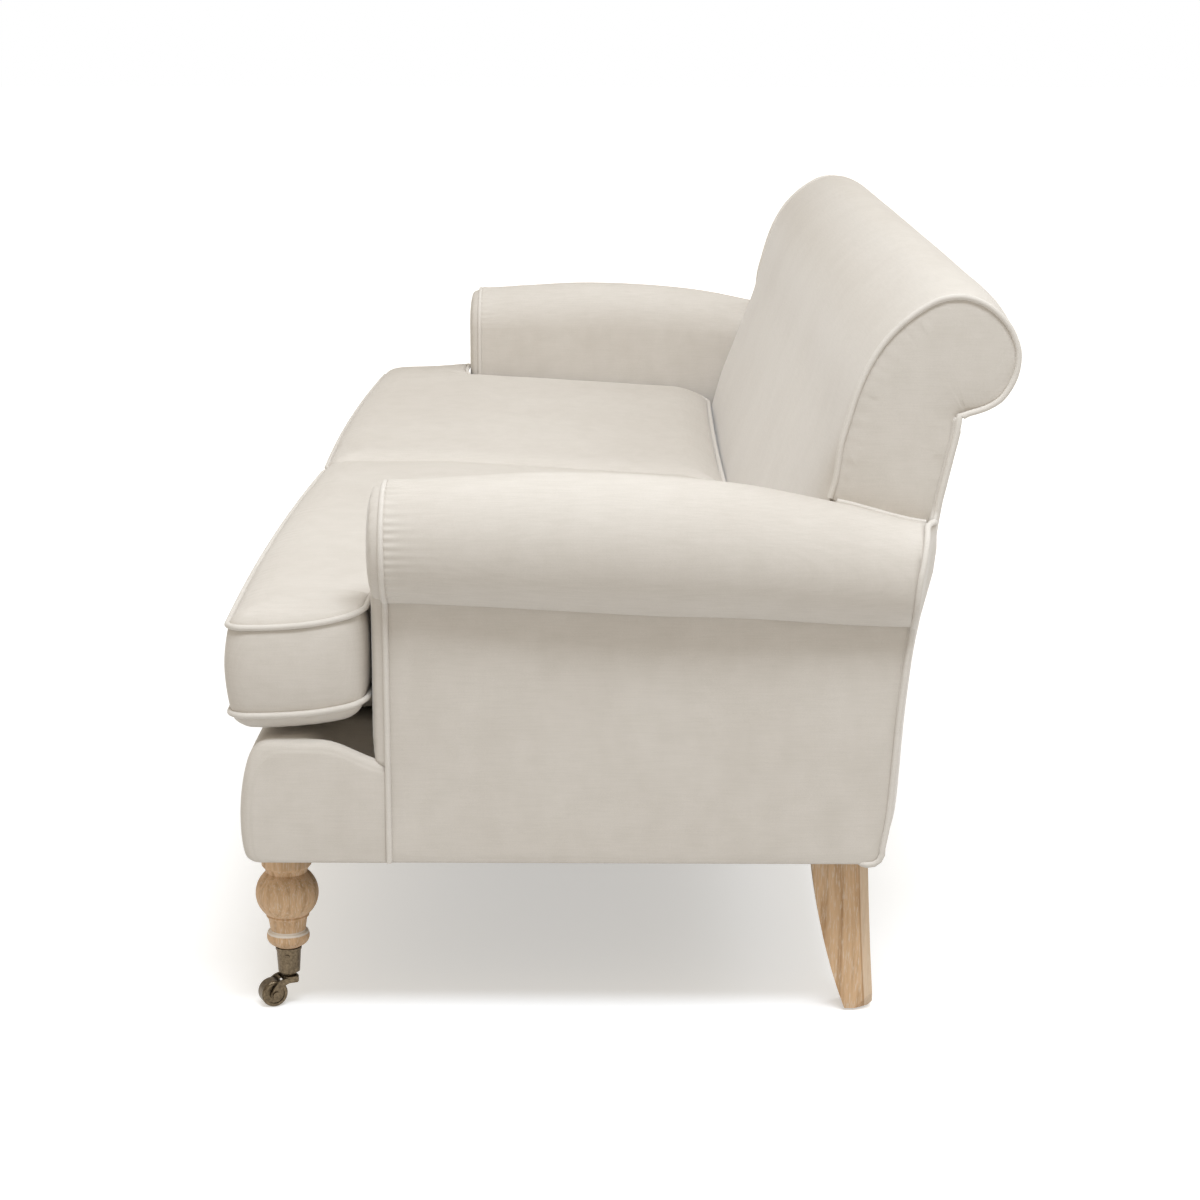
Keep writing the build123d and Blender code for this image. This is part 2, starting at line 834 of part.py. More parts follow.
# Sabre rear legs with a bevelled outer rear edge, on glides
with BuildPart() as rear_leg:
    with BuildSketch(Plane.YZ.offset(leg_x - rear_leg_thick / 2)):
        with BuildLine():
            top = (leg_top_front, frame_base)
            ThreePointArc(top, (leg_mid_front, leg_mid_height), (leg_toe_front, glide_thick))
            Polyline(
                (leg_toe_front, glide_thick),
                (leg_toe_rear - leg_toe_round, glide_thick),
                (leg_toe_rear, glide_thick + leg_toe_round),
            )
            toe = (leg_toe_rear, glide_thick + leg_toe_round)
            ThreePointArc(toe, (leg_mid_rear, leg_mid_height), (leg_top_rear, frame_base))
            Line((leg_top_rear, frame_base), (leg_top_front, frame_base))
        make_face()
    extrude(amount=rear_leg_thick)
    outer_side = rear_leg.faces().sort_by(Axis.X)[-1]
    chamfer(outer_side.edges().sort_by(Axis.Y)[-1], rear_leg_bevel)
    with BuildSketch(Plane.XY.offset(frame_base)):
        with Locations((rear_bolt_x, rear_leg_bolt_y)):
            Circle(bolt_radius + bolt_clear)
    extrude(amount=-bolt_in_leg - fit, mode=Mode.SUBTRACT)
keep_pair(rear_leg.part, "rear_leg")

with BuildPart() as glides:
    with BuildSketch():
        for side in (-1, 1):
            with Locations((side * leg_x, (leg_toe_front + leg_toe_rear - leg_toe_round) / 2)):
                Circle(glide_radius)
    extrude(amount=glide_thick)
keep(glides.part, "rear_leg_glides")

with BuildPart() as hanger_bolts:
    with BuildSketch(Plane.XY.offset(frame_base - bolt_in_leg)):
        with Locations(*front_bolt_places, *[(x, rear_leg_bolt_y) for x in (-rear_bolt_x, rear_bolt_x)]):
            Circle(bolt_radius)
    extrude(amount=bolt_in_leg + bolt_in_rail)
keep(hanger_bolts.part, "leg_hanger_bolts")

# Caster cups on the front legs' feet
cup_bottom = leg_foot_height - pin_clear - cup_floor - pivot_head_height - pivot_head_clear
cup_slope = (leg_shoulder_radius - leg_foot_radius) / (leg_shoulder_height - leg_foot_height)


def cup_inner(z):
    return leg_foot_radius + pin_clear + cup_slope * (z - leg_foot_height)


cup_top = leg_shoulder_height - pin_clear
with BuildPart() as caster_cup:
    with BuildSketch(Plane.XZ):
        with BuildLine():
            floor_z = cup_bottom + cup_floor
            rim_z = cup_top - cup_rim_height
            Polyline(
                (pivot_radius + pin_clear, cup_bottom - cup_boss_height),
                (cup_boss_radius, cup_bottom - cup_boss_height),
                (cup_boss_radius, cup_bottom),
                (cup_inner(cup_bottom) + cup_wall, cup_bottom),
                (cup_inner(rim_z) + cup_wall, rim_z),
                (cup_inner(rim_z) + cup_wall + cup_rim, rim_z),
                (cup_inner(cup_top) + cup_wall + cup_rim, cup_top),
                (cup_inner(cup_top), cup_top),
                (cup_inner(floor_z), floor_z),
                (pivot_radius + pin_clear, floor_z),
                close=True,
            )
        make_face()
    revolve(axis=Axis.Z)
    with BuildSketch(Plane.YZ.offset(-leg_flange_radius)):
        with Locations((0, cup_screw_height)):
            Circle(cup_screw_radius + pin_clear)
    extrude(amount=2 * leg_flange_radius, mode=Mode.SUBTRACT)
keep_pair(caster_cup.part.moved(leg_place), "caster_cup")

# Screws through both sides of each cup into the leg
head_seat = cup_inner(cup_screw_height + cup_screw_head_radius) + cup_wall
with BuildPart() as cup_screw:
    with BuildSketch(Plane.YZ.offset(head_seat)):
        with Locations((0, cup_screw_height)):
            Circle(cup_screw_head_radius)
    extrude(amount=cup_screw_head_height)
    with BuildSketch(Plane.YZ.offset(head_seat)):
        with Locations((0, cup_screw_height)):
            Circle(cup_screw_radius)
    extrude(amount=-cup_screw_length)
screw_pair = [cup_screw.part, cup_screw.part.rotate(Axis.Z, 180)]
with BuildPart() as cup_screws:
    for x in (-leg_x, leg_x):
        for screw in screw_pair:
            add(screw.moved(Location((x, front_leg_y, 0))))
keep(cup_screws.part, "caster_cup_screws")

# Caster horns: crown plate, pivot and two ears that hold the axle, turned to the rest angle
trail_way = Vector(sin(radians(caster_yaw)), -cos(radians(caster_yaw)), 0)
axle_way = Vector(cos(radians(caster_yaw)), sin(radians(caster_yaw)), 0)
stem = Vector(leg_x, front_leg_y, 0)
wheel_centre = stem + trail_way * caster_trail + Vector(0, 0, wheel_radius)
crown_top = cup_bottom - cup_boss_height - swivel_gap
crown_foot = crown_top - horn_crown_height
ear_in = wheel_width / 2 + wheel_side_gap
ear_out = ear_in + ear_thick
with BuildPart() as caster_horn:
    with BuildSketch(Plane(origin=stem + Vector(0, 0, crown_foot), x_dir=axle_way, z_dir=(0, 0, 1))):
        RectangleRounded(2 * ear_out, 2 * cup_boss_radius, cup_boss_radius / 2)
    extrude(amount=horn_crown_height)
    for inner in (ear_in, -ear_out):
        ear_plane = Plane(origin=stem - axle_way * inner, x_dir=trail_way, z_dir=-axle_way)
        with BuildSketch(ear_plane):
            with BuildLine():
                strap_top = (cup_boss_radius / 2, crown_top - ear_drop)
                strap_toe = (caster_trail + ear_radius * 0.7, wheel_radius + ear_radius * 0.7)
                strap_heel = (caster_trail - ear_radius, wheel_radius)
                strap_foot = (cup_boss_radius / 2, crown_foot - ear_drop)
                ThreePointArc(strap_top, strap_bend, strap_toe)
                Line(strap_toe, strap_heel)
                ThreePointArc(strap_heel, strap_hollow, strap_foot)
                Polyline(
                    strap_foot,
                    (ear_set - cup_boss_radius, crown_foot - ear_drop),
                    (ear_set - cup_boss_radius, crown_top - ear_drop),
                    strap_top,
                )
            make_face()
            with Locations((caster_trail, wheel_radius)):
                Circle(ear_radius)
        extrude(amount=ear_thick)
    with BuildSketch(Plane(origin=wheel_centre, x_dir=trail_way, z_dir=axle_way)):
        Circle(axle_radius + pin_clear)
    extrude(amount=2 * ear_out, both=True, mode=Mode.SUBTRACT)
    with BuildSketch(Plane(origin=stem + Vector(0, 0, crown_top))):
        Circle(pivot_radius)
    extrude(amount=cup_bottom + cup_floor + pivot_head_height - crown_top)
    with BuildSketch(Plane(origin=stem + Vector(0, 0, cup_bottom + cup_floor + pin_clear))):
        Circle(pivot_head_radius)
    extrude(amount=pivot_head_height)
keep_pair(caster_horn.part, "caster_horn")

with BuildPart() as caster_axle:
    with BuildSketch(Plane(origin=wheel_centre, x_dir=trail_way, z_dir=axle_way)):
        Circle(axle_radius)
    extrude(amount=ear_out, both=True)
    for way in (-1, 1):
        head_origin = wheel_centre + axle_way * way * ear_out
        head_plane = Plane(origin=head_origin, x_dir=trail_way, z_dir=axle_way * way)
        with BuildSketch(head_plane):
            Circle(axle_head_radius)
        extrude(amount=axle_head_height)
keep_pair(caster_axle.part, "caster_axle")

with BuildPart() as caster_wheel:
    with BuildSketch(Plane(origin=wheel_centre, x_dir=trail_way, z_dir=axle_way)):
        Circle(wheel_radius)
    extrude(amount=wheel_width / 2, both=True)
    fillet(caster_wheel.edges().filter_by(GeomType.CIRCLE), wheel_round)
    with BuildSketch(Plane(origin=wheel_centre, x_dir=trail_way, z_dir=axle_way)):
        Circle(axle_radius + 2 * pin_clear)
    extrude(amount=wheel_width, both=True, mode=Mode.SUBTRACT)
    for way in (-1, 1):
        side_origin = wheel_centre + axle_way * way * wheel_width / 2
        with BuildSketch(Plane(origin=side_origin, x_dir=trail_way, z_dir=axle_way * way)):
            Circle(wheel_recess_radius)
            Circle(axle_head_radius, mode=Mode.SUBTRACT)
        extrude(amount=-wheel_recess_depth, mode=Mode.SUBTRACT)
keep_pair(caster_wheel.part, "caster_wheel")
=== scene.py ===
import math
import bpy
import bmesh
from mathutils import Matrix, Vector, kdtree, noise


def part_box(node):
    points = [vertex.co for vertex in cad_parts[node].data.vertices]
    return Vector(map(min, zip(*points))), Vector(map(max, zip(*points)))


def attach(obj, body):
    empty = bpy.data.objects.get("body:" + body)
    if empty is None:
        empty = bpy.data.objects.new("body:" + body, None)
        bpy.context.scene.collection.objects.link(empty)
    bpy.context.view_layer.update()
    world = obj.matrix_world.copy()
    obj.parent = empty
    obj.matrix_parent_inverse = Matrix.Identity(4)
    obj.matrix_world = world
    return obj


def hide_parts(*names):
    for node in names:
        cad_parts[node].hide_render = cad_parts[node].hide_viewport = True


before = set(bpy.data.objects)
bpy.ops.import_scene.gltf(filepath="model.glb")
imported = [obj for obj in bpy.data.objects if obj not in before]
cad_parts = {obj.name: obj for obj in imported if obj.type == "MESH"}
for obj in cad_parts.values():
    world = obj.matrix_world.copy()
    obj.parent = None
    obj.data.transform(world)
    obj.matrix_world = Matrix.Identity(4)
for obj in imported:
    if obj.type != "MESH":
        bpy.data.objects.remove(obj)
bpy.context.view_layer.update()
mm = 0.001
print("frame loaded")


# small helpers, in millimetres

def at(x, y, z):
    return Vector((x, y, z)) * mm


def drift(x, y, z):
    return noise.noise(Vector((x, y, z)))


def clamp(t):
    return min(1.0, max(0.0, t))


def soften(t):
    t = clamp(t)
    return t * t * (3 - 2 * t)


def ease(value, span):
    # soft step from 0 to 1; the span is its start and its length
    start, length = span
    return soften((value - start) / length)


def between(p, q, r, s, f):
    # f of the way from q to r on a smooth line through all four
    straight = 2 * q + (r - p) * f
    bent = (2 * p - 5 * q + 4 * r - s) * f * f
    return 0.5 * (straight + bent + (3 * q - p - 3 * r + s) * f ** 3)


def fourFrom(rows, i):
    # row i with the one before it and the two after it
    return [rows[max(i - 1, 0)], rows[i], rows[i + 1], rows[min(i + 2, len(rows) - 1)]]


def curveThrough(points, t):
    # smooth line through the points, t from 0 to 1
    last = len(points) - 1
    place = clamp(t) * last
    i = min(int(place), last - 1)
    return [between(*four, place - i) for four in zip(*fourFrom(points, i))]


def valueAt(table, x):
    # smooth values from rows of a place and its values
    if x <= table[0][0]:
        return table[0][1:]
    for i in range(len(table) - 1):
        if x <= table[i + 1][0]:
            f = (x - table[i][0]) / (table[i + 1][0] - table[i][0])
            rows = [row[1:] for row in fourFrom(table, i)]
            return [between(*four, f) for four in zip(*rows)]
    return table[-1][1:]


def arc(x0, z0, r, start, stop, parts):
    turns = [start + (stop - start) * k / parts for k in range(parts + 1)]
    return [(x0 + r * math.cos(a), z0 + r * math.sin(a)) for a in turns]


def evenly(loop, step):
    # points about one step apart along a closed line
    points = []
    for p, q in zip(loop, loop[1:] + loop[:1]):
        parts = max(1, round((q - p).length / step))
        points += [p.lerp(q, k / parts) for k in range(parts)]
    return points


def outwardOf(line):
    # outward ways along a closed line in plan
    area = sum(a.x * b.y - b.x * a.y for a, b in zip(line, line[1:] + line[:1]))
    turn = 1 if area > 0 else -1
    ways = []
    for i in range(len(line)):
        way = (line[(i + 1) % len(line)] - line[i - 1]).normalized()
        ways.append(Vector((way.y, -way.x, 0)) * turn)
    return ways


def treeOf(points):
    tree = kdtree.KDTree(len(points))
    for i, p in enumerate(points):
        tree.insert(p, i)
    tree.balance()
    return tree


def ringOf(bm, points):
    corners = [bm.verts.new(p) for p in points]
    return [bm.edges.new((corners[i - 1], corners[i])) for i in range(len(corners))]


def loft(bm, rings):
    loops = [ringOf(bm, points) for points in rings]
    for one, two in zip(loops, loops[1:]):
        bmesh.ops.bridge_loops(bm, edges=one + two)
    for end in (loops[0], loops[-1]):
        bmesh.ops.edgeloop_fill(bm, edges=end)


def raiseLid(bm, face, lift):
    # moved copy of a face, joined to it by walls
    made = bmesh.ops.extrude_face_region(bm, geom=[face], use_keep_orig=True)
    lid = [f for f in made["geom"] if isinstance(f, bmesh.types.BMFace)][0]
    bmesh.ops.translate(bm, vec=lift, verts=lid.verts)
    return lid


def roundRim(bm, face, steps):
    for inset, rise in steps:
        bmesh.ops.inset_region(bm, faces=[face], thickness=inset * mm, depth=rise * mm, use_even_offset=True)


def mirrorMesh(bm):
    bmesh.ops.scale(bm, vec=(-1, 1, 1), verts=bm.verts)
    bmesh.ops.reverse_faces(bm, faces=bm.faces)


# materials

def feed(tree, node, values):
    # inputs by name or number, each with a value or a link
    for name, value in values.items():
        if hasattr(value, "is_linked"):
            tree.links.new(value, node.inputs[name])
        else:
            node.inputs[name].default_value = value


def newNode(tree, kind, values):
    node = tree.nodes.new("ShaderNode" + kind)
    feed(tree, node, values)
    return node


def newMaterial(name):
    material = bpy.data.materials.new(name)
    material.use_nodes = True
    tree = material.node_tree
    place = newNode(tree, "TexCoord", {}).outputs["Object"]
    return material, tree, tree.nodes["Principled BSDF"], place


def stretched(tree, place, scale):
    return newNode(tree, "Mapping", {"Vector": place, "Scale": scale}).outputs["Vector"]


def noiseNode(tree, place, scale, detail, rough=0.5, twist=0.0):
    values = {"Vector": place, "Scale": scale, "Detail": detail, "Roughness": rough, "Distortion": twist}
    return newNode(tree, "TexNoise", values).outputs["Fac"]


def rampNode(tree, source, stops):
    ramp = newNode(tree, "ValToRGB", {"Fac": source})
    marks = ramp.color_ramp.elements
    for mark, (spot, colour) in zip(marks, (stops[0], stops[-1])):
        mark.position = spot
        mark.color = (*colour, 1)
    for spot, colour in stops[1:-1]:
        marks.new(spot).color = (*colour, 1)
    return ramp.outputs["Color"]


def rangeNode(tree, value, start=0.0, end=1.0, low=0.0, high=1.0):
    # low before start, high after end
    values = {"Value": value, "From Min": start, "From Max": end, "To Min": low, "To Max": high}
    return newNode(tree, "MapRange", values).outputs["Result"]


def bumpNode(tree, height, strength, distance, under=None, invert=False):
    bump = newNode(tree, "Bump", {"Height": height, "Strength": strength, "Distance": distance})
    bump.invert = invert
    if under:
        feed(tree, bump, {"Normal": under})
    return bump.outputs["Normal"]


def mathNode(tree, operation, one, two):
    node = newNode(tree, "Math", {0: one, 1: two})
    node.operation = operation
    return node.outputs["Value"]


def mixColour(tree, share, one, two, how="MIX"):
    mix = newNode(tree, "Mix", {})
    mix.data_type = "RGBA"
    mix.blend_type = how
    a, b = [i for i, socket in enumerate(mix.inputs) if socket.type == "RGBA"]
    feed(tree, mix, {"Factor": share, a: one, b: two})
    return [socket for socket in mix.outputs if socket.type == "RGBA"][0]


white = (1.0, 1.0, 1.0)
velvetLook = {
    "light": (0.662, 0.616, 0.556), "dark": (0.640, 0.592, 0.532), "nap": 5.5,
    "streak": (0.970, 0.967, 0.963), "brush": (30, 34, 9),
    "fleck": (0.90, 0.895, 0.885), "pile": 1500.0,
    "slub": 0.028, "threads": ((26, 26, 620), (620, 30, 30)),
    "sheen": 0.32, "sheenRough": 0.36, "sheenTint": (1.0, 0.985, 0.96),
    "rough": (0.74, 0.92), "specular": 0.22,
}
# painted highlight: the piping is the same velvet made paler, so the welts read as lighter lines, as if they
# caught more light
pipingHighlightLook = dict(velvetLook, light=(0.715, 0.672, 0.615), dark=(0.690, 0.646, 0.588), sheen=0.40)


def ivoryVelvet(name, look):
    material, tree, shader, place = newMaterial(name)
    nap = noiseNode(tree, place, look["nap"], 3.0, 0.55)
    brushed = noiseNode(tree, stretched(tree, place, look["brush"]), 1.0, 4.0, 0.6)
    pile = noiseNode(tree, place, look["pile"], 2.0, 0.6)
    veils = [rampNode(tree, brushed, [(0.30, look["streak"]), (0.70, white)])]
    veils.append(rampNode(tree, pile, [(0.30, look["fleck"]), (0.68, white)]))
    faint = 1 - look["slub"]
    for scale in look["threads"]:
        thread = noiseNode(tree, stretched(tree, place, scale), 1.0, 2.0, 0.55)
        veils.append(rampNode(tree, thread, [(0.36, (faint, faint, faint * 0.995)), (0.60, white)]))
    tone = rampNode(tree, nap, [(0.34, look["dark"]), (0.66, look["light"])])
    for veil in veils:
        tone = mixColour(tree, 1.0, tone, veil, "MULTIPLY")
    low, high = look["rough"]
    soft = bumpNode(tree, brushed, 0.10, 0.0016)
    feed(tree, shader, {
        "Base Color": tone,
        "Roughness": rangeNode(tree, brushed, low=low, high=high),
        "Normal": bumpNode(tree, pile, 0.16, 0.0005, soft),
        "Sheen Weight": look["sheen"],
        "Sheen Roughness": look["sheenRough"],
        "Sheen Tint": (*look["sheenTint"], 1),
        "Specular IOR Level": look["specular"],
    })
    return material


clothLooks = {
    "deckCloth": {
        "light": (0.60, 0.55, 0.47), "dark": (0.50, 0.45, 0.38), "thread": 1100.0, "rough": 0.95,
    },
    "dustCloth": {
        "light": (0.030, 0.029, 0.028), "dark": (0.012, 0.012, 0.012), "thread": 900.0, "rough": 0.95,
    },
    "webbingCloth": {
        "light": (0.36, 0.29, 0.20), "dark": (0.22, 0.17, 0.11), "thread": 500.0, "rough": 0.9,
    },
}


def wovenCloth(name):
    look = clothLooks[name]
    material, tree, shader, place = newMaterial(name)
    waves = []
    for way in ("X", "Y"):
        values = {"Vector": place, "Scale": look["thread"] / 6, "Distortion": 1.5, "Detail": 1.0}
        wave = newNode(tree, "TexWave", values)
        wave.bands_direction = way
        waves.append(wave.outputs["Fac"])
    weave = mathNode(tree, "MULTIPLY", *waves)
    both = mathNode(tree, "ADD", weave, noiseNode(tree, place, 14.0, 4.0))
    feed(tree, shader, {
        "Base Color": rampNode(tree, both, [(0.35, look["dark"]), (1.0, look["light"])]),
        "Normal": bumpNode(tree, weave, 0.25, 0.0005),
        "Roughness": look["rough"],
        "Specular IOR Level": 0.2,
    })
    return material


def axesOf(tree, place):
    return newNode(tree, "SeparateXYZ", {"Vector": place}).outputs


# painted highlight: a pale band over the ring of the turned legs, where the ring's top catches the light, by
# height in metres
ringHighlight = {"low": 0.0893, "high": 0.0926, "blur": 0.0009, "share": 0.85, "colour": (0.80, 0.76, 0.69)}


# mixes the painted highlight band over the ring into the wood's colour
def paintRingHighlight(tree, place, tone):
    z = axesOf(tree, place)["Z"]
    low, high, blur = ringHighlight["low"], ringHighlight["high"], ringHighlight["blur"]
    over = rangeNode(tree, z, low - blur, low)
    under = rangeNode(tree, z, high + blur, high)
    mask = mathNode(tree, "MULTIPLY", mathNode(tree, "MULTIPLY", over, under), ringHighlight["share"])
    return mixColour(tree, mask, tone, (*ringHighlight["colour"], 1))


# painted light on the sabre legs' rear edge: a paler strip that stands for a lit bevel the mesh doesn't
# have, with a dark line along its inner edge; in metres, the rear line is a + b z + c z z
paintedBevel = {
    "line": (0.30558, -0.07349, 0.1029), "width": 0.0105, "blur": 0.001,
    "share": 0.6, "colour": (0.69, 0.56, 0.42),
    "bevelEdgeLineEnds": (0.0016, 0.0006), "bevelEdgeLineShare": 0.65, "bevelEdgeLine": (0.36, 0.20, 0.09),
}


# paints the lit bevel strip and the dark line along its inner edge into the wood's colour
def paintBevelLight(tree, place, tone):
    axes = axesOf(tree, place)
    a, b, c = paintedBevel["line"]
    z, width = axes["Z"], paintedBevel["width"]
    within = width - paintedBevel["blur"]
    bend = mathNode(tree, "MULTIPLY", z, mathNode(tree, "ADD", mathNode(tree, "MULTIPLY", z, c), b))
    inward = mathNode(tree, "SUBTRACT", mathNode(tree, "ADD", bend, a), axes["Y"])
    strip = mathNode(tree, "MULTIPLY", rangeNode(tree, inward, width, within), paintedBevel["share"])
    tone = mixColour(tree, strip, tone, (*paintedBevel["colour"], 1))
    outer, inner = [width + more for more in paintedBevel["bevelEdgeLineEnds"]]
    after = rangeNode(tree, inward, within, width)
    before = rangeNode(tree, inward, outer, inner)
    bevelEdgeLine = mathNode(tree, "MULTIPLY", mathNode(tree, "MULTIPLY", after, before), paintedBevel["bevelEdgeLineShare"])
    return mixColour(tree, bevelEdgeLine, tone, (*paintedBevel["bevelEdgeLine"], 1))


woodLooks = {
    "limedOak": {
        "pale": (0.650, 0.432, 0.250), "deep": (0.395, 0.226, 0.104), "lime": (0.70, 0.58, 0.45),
        "rough": 0.58,
    },
    "frameTimber": {
        "pale": (0.58, 0.40, 0.22), "deep": (0.42, 0.26, 0.13), "lime": (0.55, 0.38, 0.22), "rough": 0.7,
    },
}


def grainedWood(name, kind, along, trim=None):
    look = woodLooks[kind]
    material, tree, shader, place = newMaterial(name)
    slow = stretched(tree, place, tuple(4 if a else 70 for a in along))
    broad = noiseNode(tree, slow, 1.0, 5.0, 0.6, 0.6)
    fast = stretched(tree, place, tuple(80 if a else 720 for a in along))
    pores = noiseNode(tree, fast, 1.0, 3.0, 0.55)
    tone = rampNode(tree, broad, [(0.30, look["deep"]), (0.52, look["pale"]), (0.72, look["deep"])])
    lime = rampNode(tree, pores, [(0.52, (0, 0, 0)), (0.66, white)])
    tone = mixColour(tree, mathNode(tree, "MULTIPLY", lime, 0.62), tone, (*look["lime"], 1))
    if trim:
        tone = trim(tree, place, tone)
    feed(tree, shader, {
        "Base Color": tone,
        "Roughness": rangeNode(tree, pores, low=look["rough"] - 0.06, high=look["rough"] + 0.14),
        "Normal": bumpNode(tree, pores, 0.22, 0.0006, invert=True),
        "Specular IOR Level": 0.35,
    })
    return material


metalLooks = {
    "casterBronze": {
        "dark": (0.105, 0.080, 0.052), "worn": (0.225, 0.172, 0.110), "low": 0.30, "high": 0.42,
    },
    "boltSteel": {"dark": (0.28, 0.28, 0.28), "worn": (0.52, 0.52, 0.53), "low": 0.28, "high": 0.45},
}


def agedMetal(name):
    look = metalLooks[name]
    material, tree, shader, place = newMaterial(name)
    stain = noiseNode(tree, place, 330.0, 4.0, 0.6)
    scratch = noiseNode(tree, stretched(tree, place, (260, 260, 1500)), 1.0, 2.0)
    feed(tree, shader, {
        "Base Color": rampNode(tree, stain, [(0.36, look["dark"]), (0.72, look["worn"])]),
        "Roughness": rangeNode(tree, stain, low=look["low"], high=look["high"]),
        "Normal": bumpNode(tree, scratch, 0.08, 0.0003),
        "Metallic": 1.0,
    })
    return material


nylonLook = {"dark": (0.018, 0.016, 0.014), "light": (0.05, 0.045, 0.04), "rough": 0.5}


def glideNylon(name):
    material, tree, shader, place = newMaterial(name)
    speck = noiseNode(tree, place, 400.0, 3.0)
    feed(tree, shader, {
        "Base Color": rampNode(tree, speck, [(0.35, nylonLook["dark"]), (0.7, nylonLook["light"])]),
        "Normal": bumpNode(tree, speck, 0.1, 0.0003),
        "Roughness": nylonLook["rough"],
    })
    return material


velvet = ivoryVelvet("ivoryVelvet", velvetLook)
piping = ivoryVelvet("pipingVelvet", pipingHighlightLook)
deckCloth = wovenCloth("deckCloth")
dustCloth = wovenCloth("dustCloth")
webbingCloth = wovenCloth("webbingCloth")
# the turned legs carry a painted highlight band on the ring
turnedOak = grainedWood("turnedOak", "limedOak", (0, 0, 1), paintRingHighlight)
# the sabre legs carry the painted bevel light along their rear edge
sabreOak = grainedWood("sabreOak", "limedOak", (0, 0, 1), paintBevelLight)
timberLong = grainedWood("timberLong", "frameTimber", (1, 0, 0))
timberDeep = grainedWood("timberDeep", "frameTimber", (0, 1, 0))
timberTall = grainedWood("timberTall", "frameTimber", (0, 0, 1))
casterBronze = agedMetal("casterBronze")
boltSteel = agedMetal("boltSteel")
glideBlack = glideNylon("glideBlack")

finishes = (
    (turnedOak, ("front_leg",)), (sabreOak, ("rear_leg",)),
    (casterBronze, ("caster_cup", "caster_horn", "caster_axle", "caster_wheel", "caster_cup_screws")),
    (glideBlack, ("rear_leg_glides",)), (boltSteel, ("leg_hanger_bolts",)),
    (timberLong, ("front_seat_rail", "rear_seat_rail", "back_top_rail", "back_tack_rail")),
    (timberDeep, ("side_rail", "seat_stretchers", "arm_top_rail", "arm_tack_rail", "corner_blocks")),
    (timberTall, ("arm_front_board", "arm_stump", "back_post", "middle_back_posts")),
    (webbingCloth, ("seat_webbing", "back_webbing")),
    (deckCloth, ("seat_deck",)), (dustCloth, ("dust_cover",)),
)
for nodeName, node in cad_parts.items():
    plain = nodeName.removeprefix("left_").removeprefix("right_")
    finish = next((material for material, names in finishes if plain in names), velvet)
    node.data.materials.clear()
    node.data.materials.append(finish)
print("materials made")


# pieces

def smoothFaces(mesh):
    for face in mesh.polygons:
        face.use_smooth = True


def placePiece(name, mesh, body, material=velvet):
    smoothFaces(mesh)
    piece = bpy.data.objects.new(name, mesh)
    bpy.context.scene.collection.objects.link(piece)
    mesh.materials.clear()
    mesh.materials.append(material)
    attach(piece, body)
    return piece


def addPiece(name, bm, body="sofa", material=velvet, mirror=False):
    if mirror:
        mirrorMesh(bm)
    bmesh.ops.remove_doubles(bm, verts=bm.verts, dist=0.00002)
    bmesh.ops.dissolve_degenerate(bm, edges=bm.edges, dist=0.00001)
    bmesh.ops.recalc_face_normals(bm, faces=bm.faces)
    mesh = bpy.data.meshes.new(name)
    bm.to_mesh(mesh)
    bm.free()
    return placePiece(name, mesh, body, material)


welt = {"radius": 3.5}


def addWelt(side, name, points, body="sofa", closed=False):
    # covered cord along a seam, as a tube on the seam's own line
    if side == "right":
        points = [Vector((-p.x, p.y, p.z)) for p in points]
    cord = bpy.data.curves.new(side + name + "Line", "CURVE")
    cord.dimensions = "3D"
    cord.bevel_depth = welt["radius"] * mm
    cord.bevel_resolution = 3
    cord.use_fill_caps = True
    line = cord.splines.new("POLY")
    line.points.add(len(points) - 1)
    for point, place in zip(line.points, points):
        point.co = (*place, 1)
    line.use_cyclic_u = closed
    holder = bpy.data.objects.new(side + name + "Line", cord)
    mesh = bpy.data.meshes.new_from_object(holder)
    bpy.data.objects.remove(holder)
    bpy.data.curves.remove(cord)
    mesh.name = side + name
    placePiece(side + name, mesh, body, piping)


# fabric panels: an outline given thickness, a rolled rim and a soft dome

def gridCut(bm, axis, step):
    places = [v.co[axis] for v in bm.verts]
    way = Vector((0, 0, 0))
    way[axis] = 1
    spot = min(places) + step * mm
    while spot < max(places) - step * mm * 0.4:
        every = bm.verts[:] + bm.edges[:] + bm.faces[:]
        bmesh.ops.bisect_plane(bm, geom=every, dist=0.00005, plane_co=way * spot, plane_no=way)
        spot += step * mm


# folds along a panel's edge and lumps on its face
pucker = {
    "edgeStep": 4.0, "turn": 1.7, "stray": 3.0, "reach": 16, "start": 5, "lumpScale": 9.0, "lumpStart": 30,
}


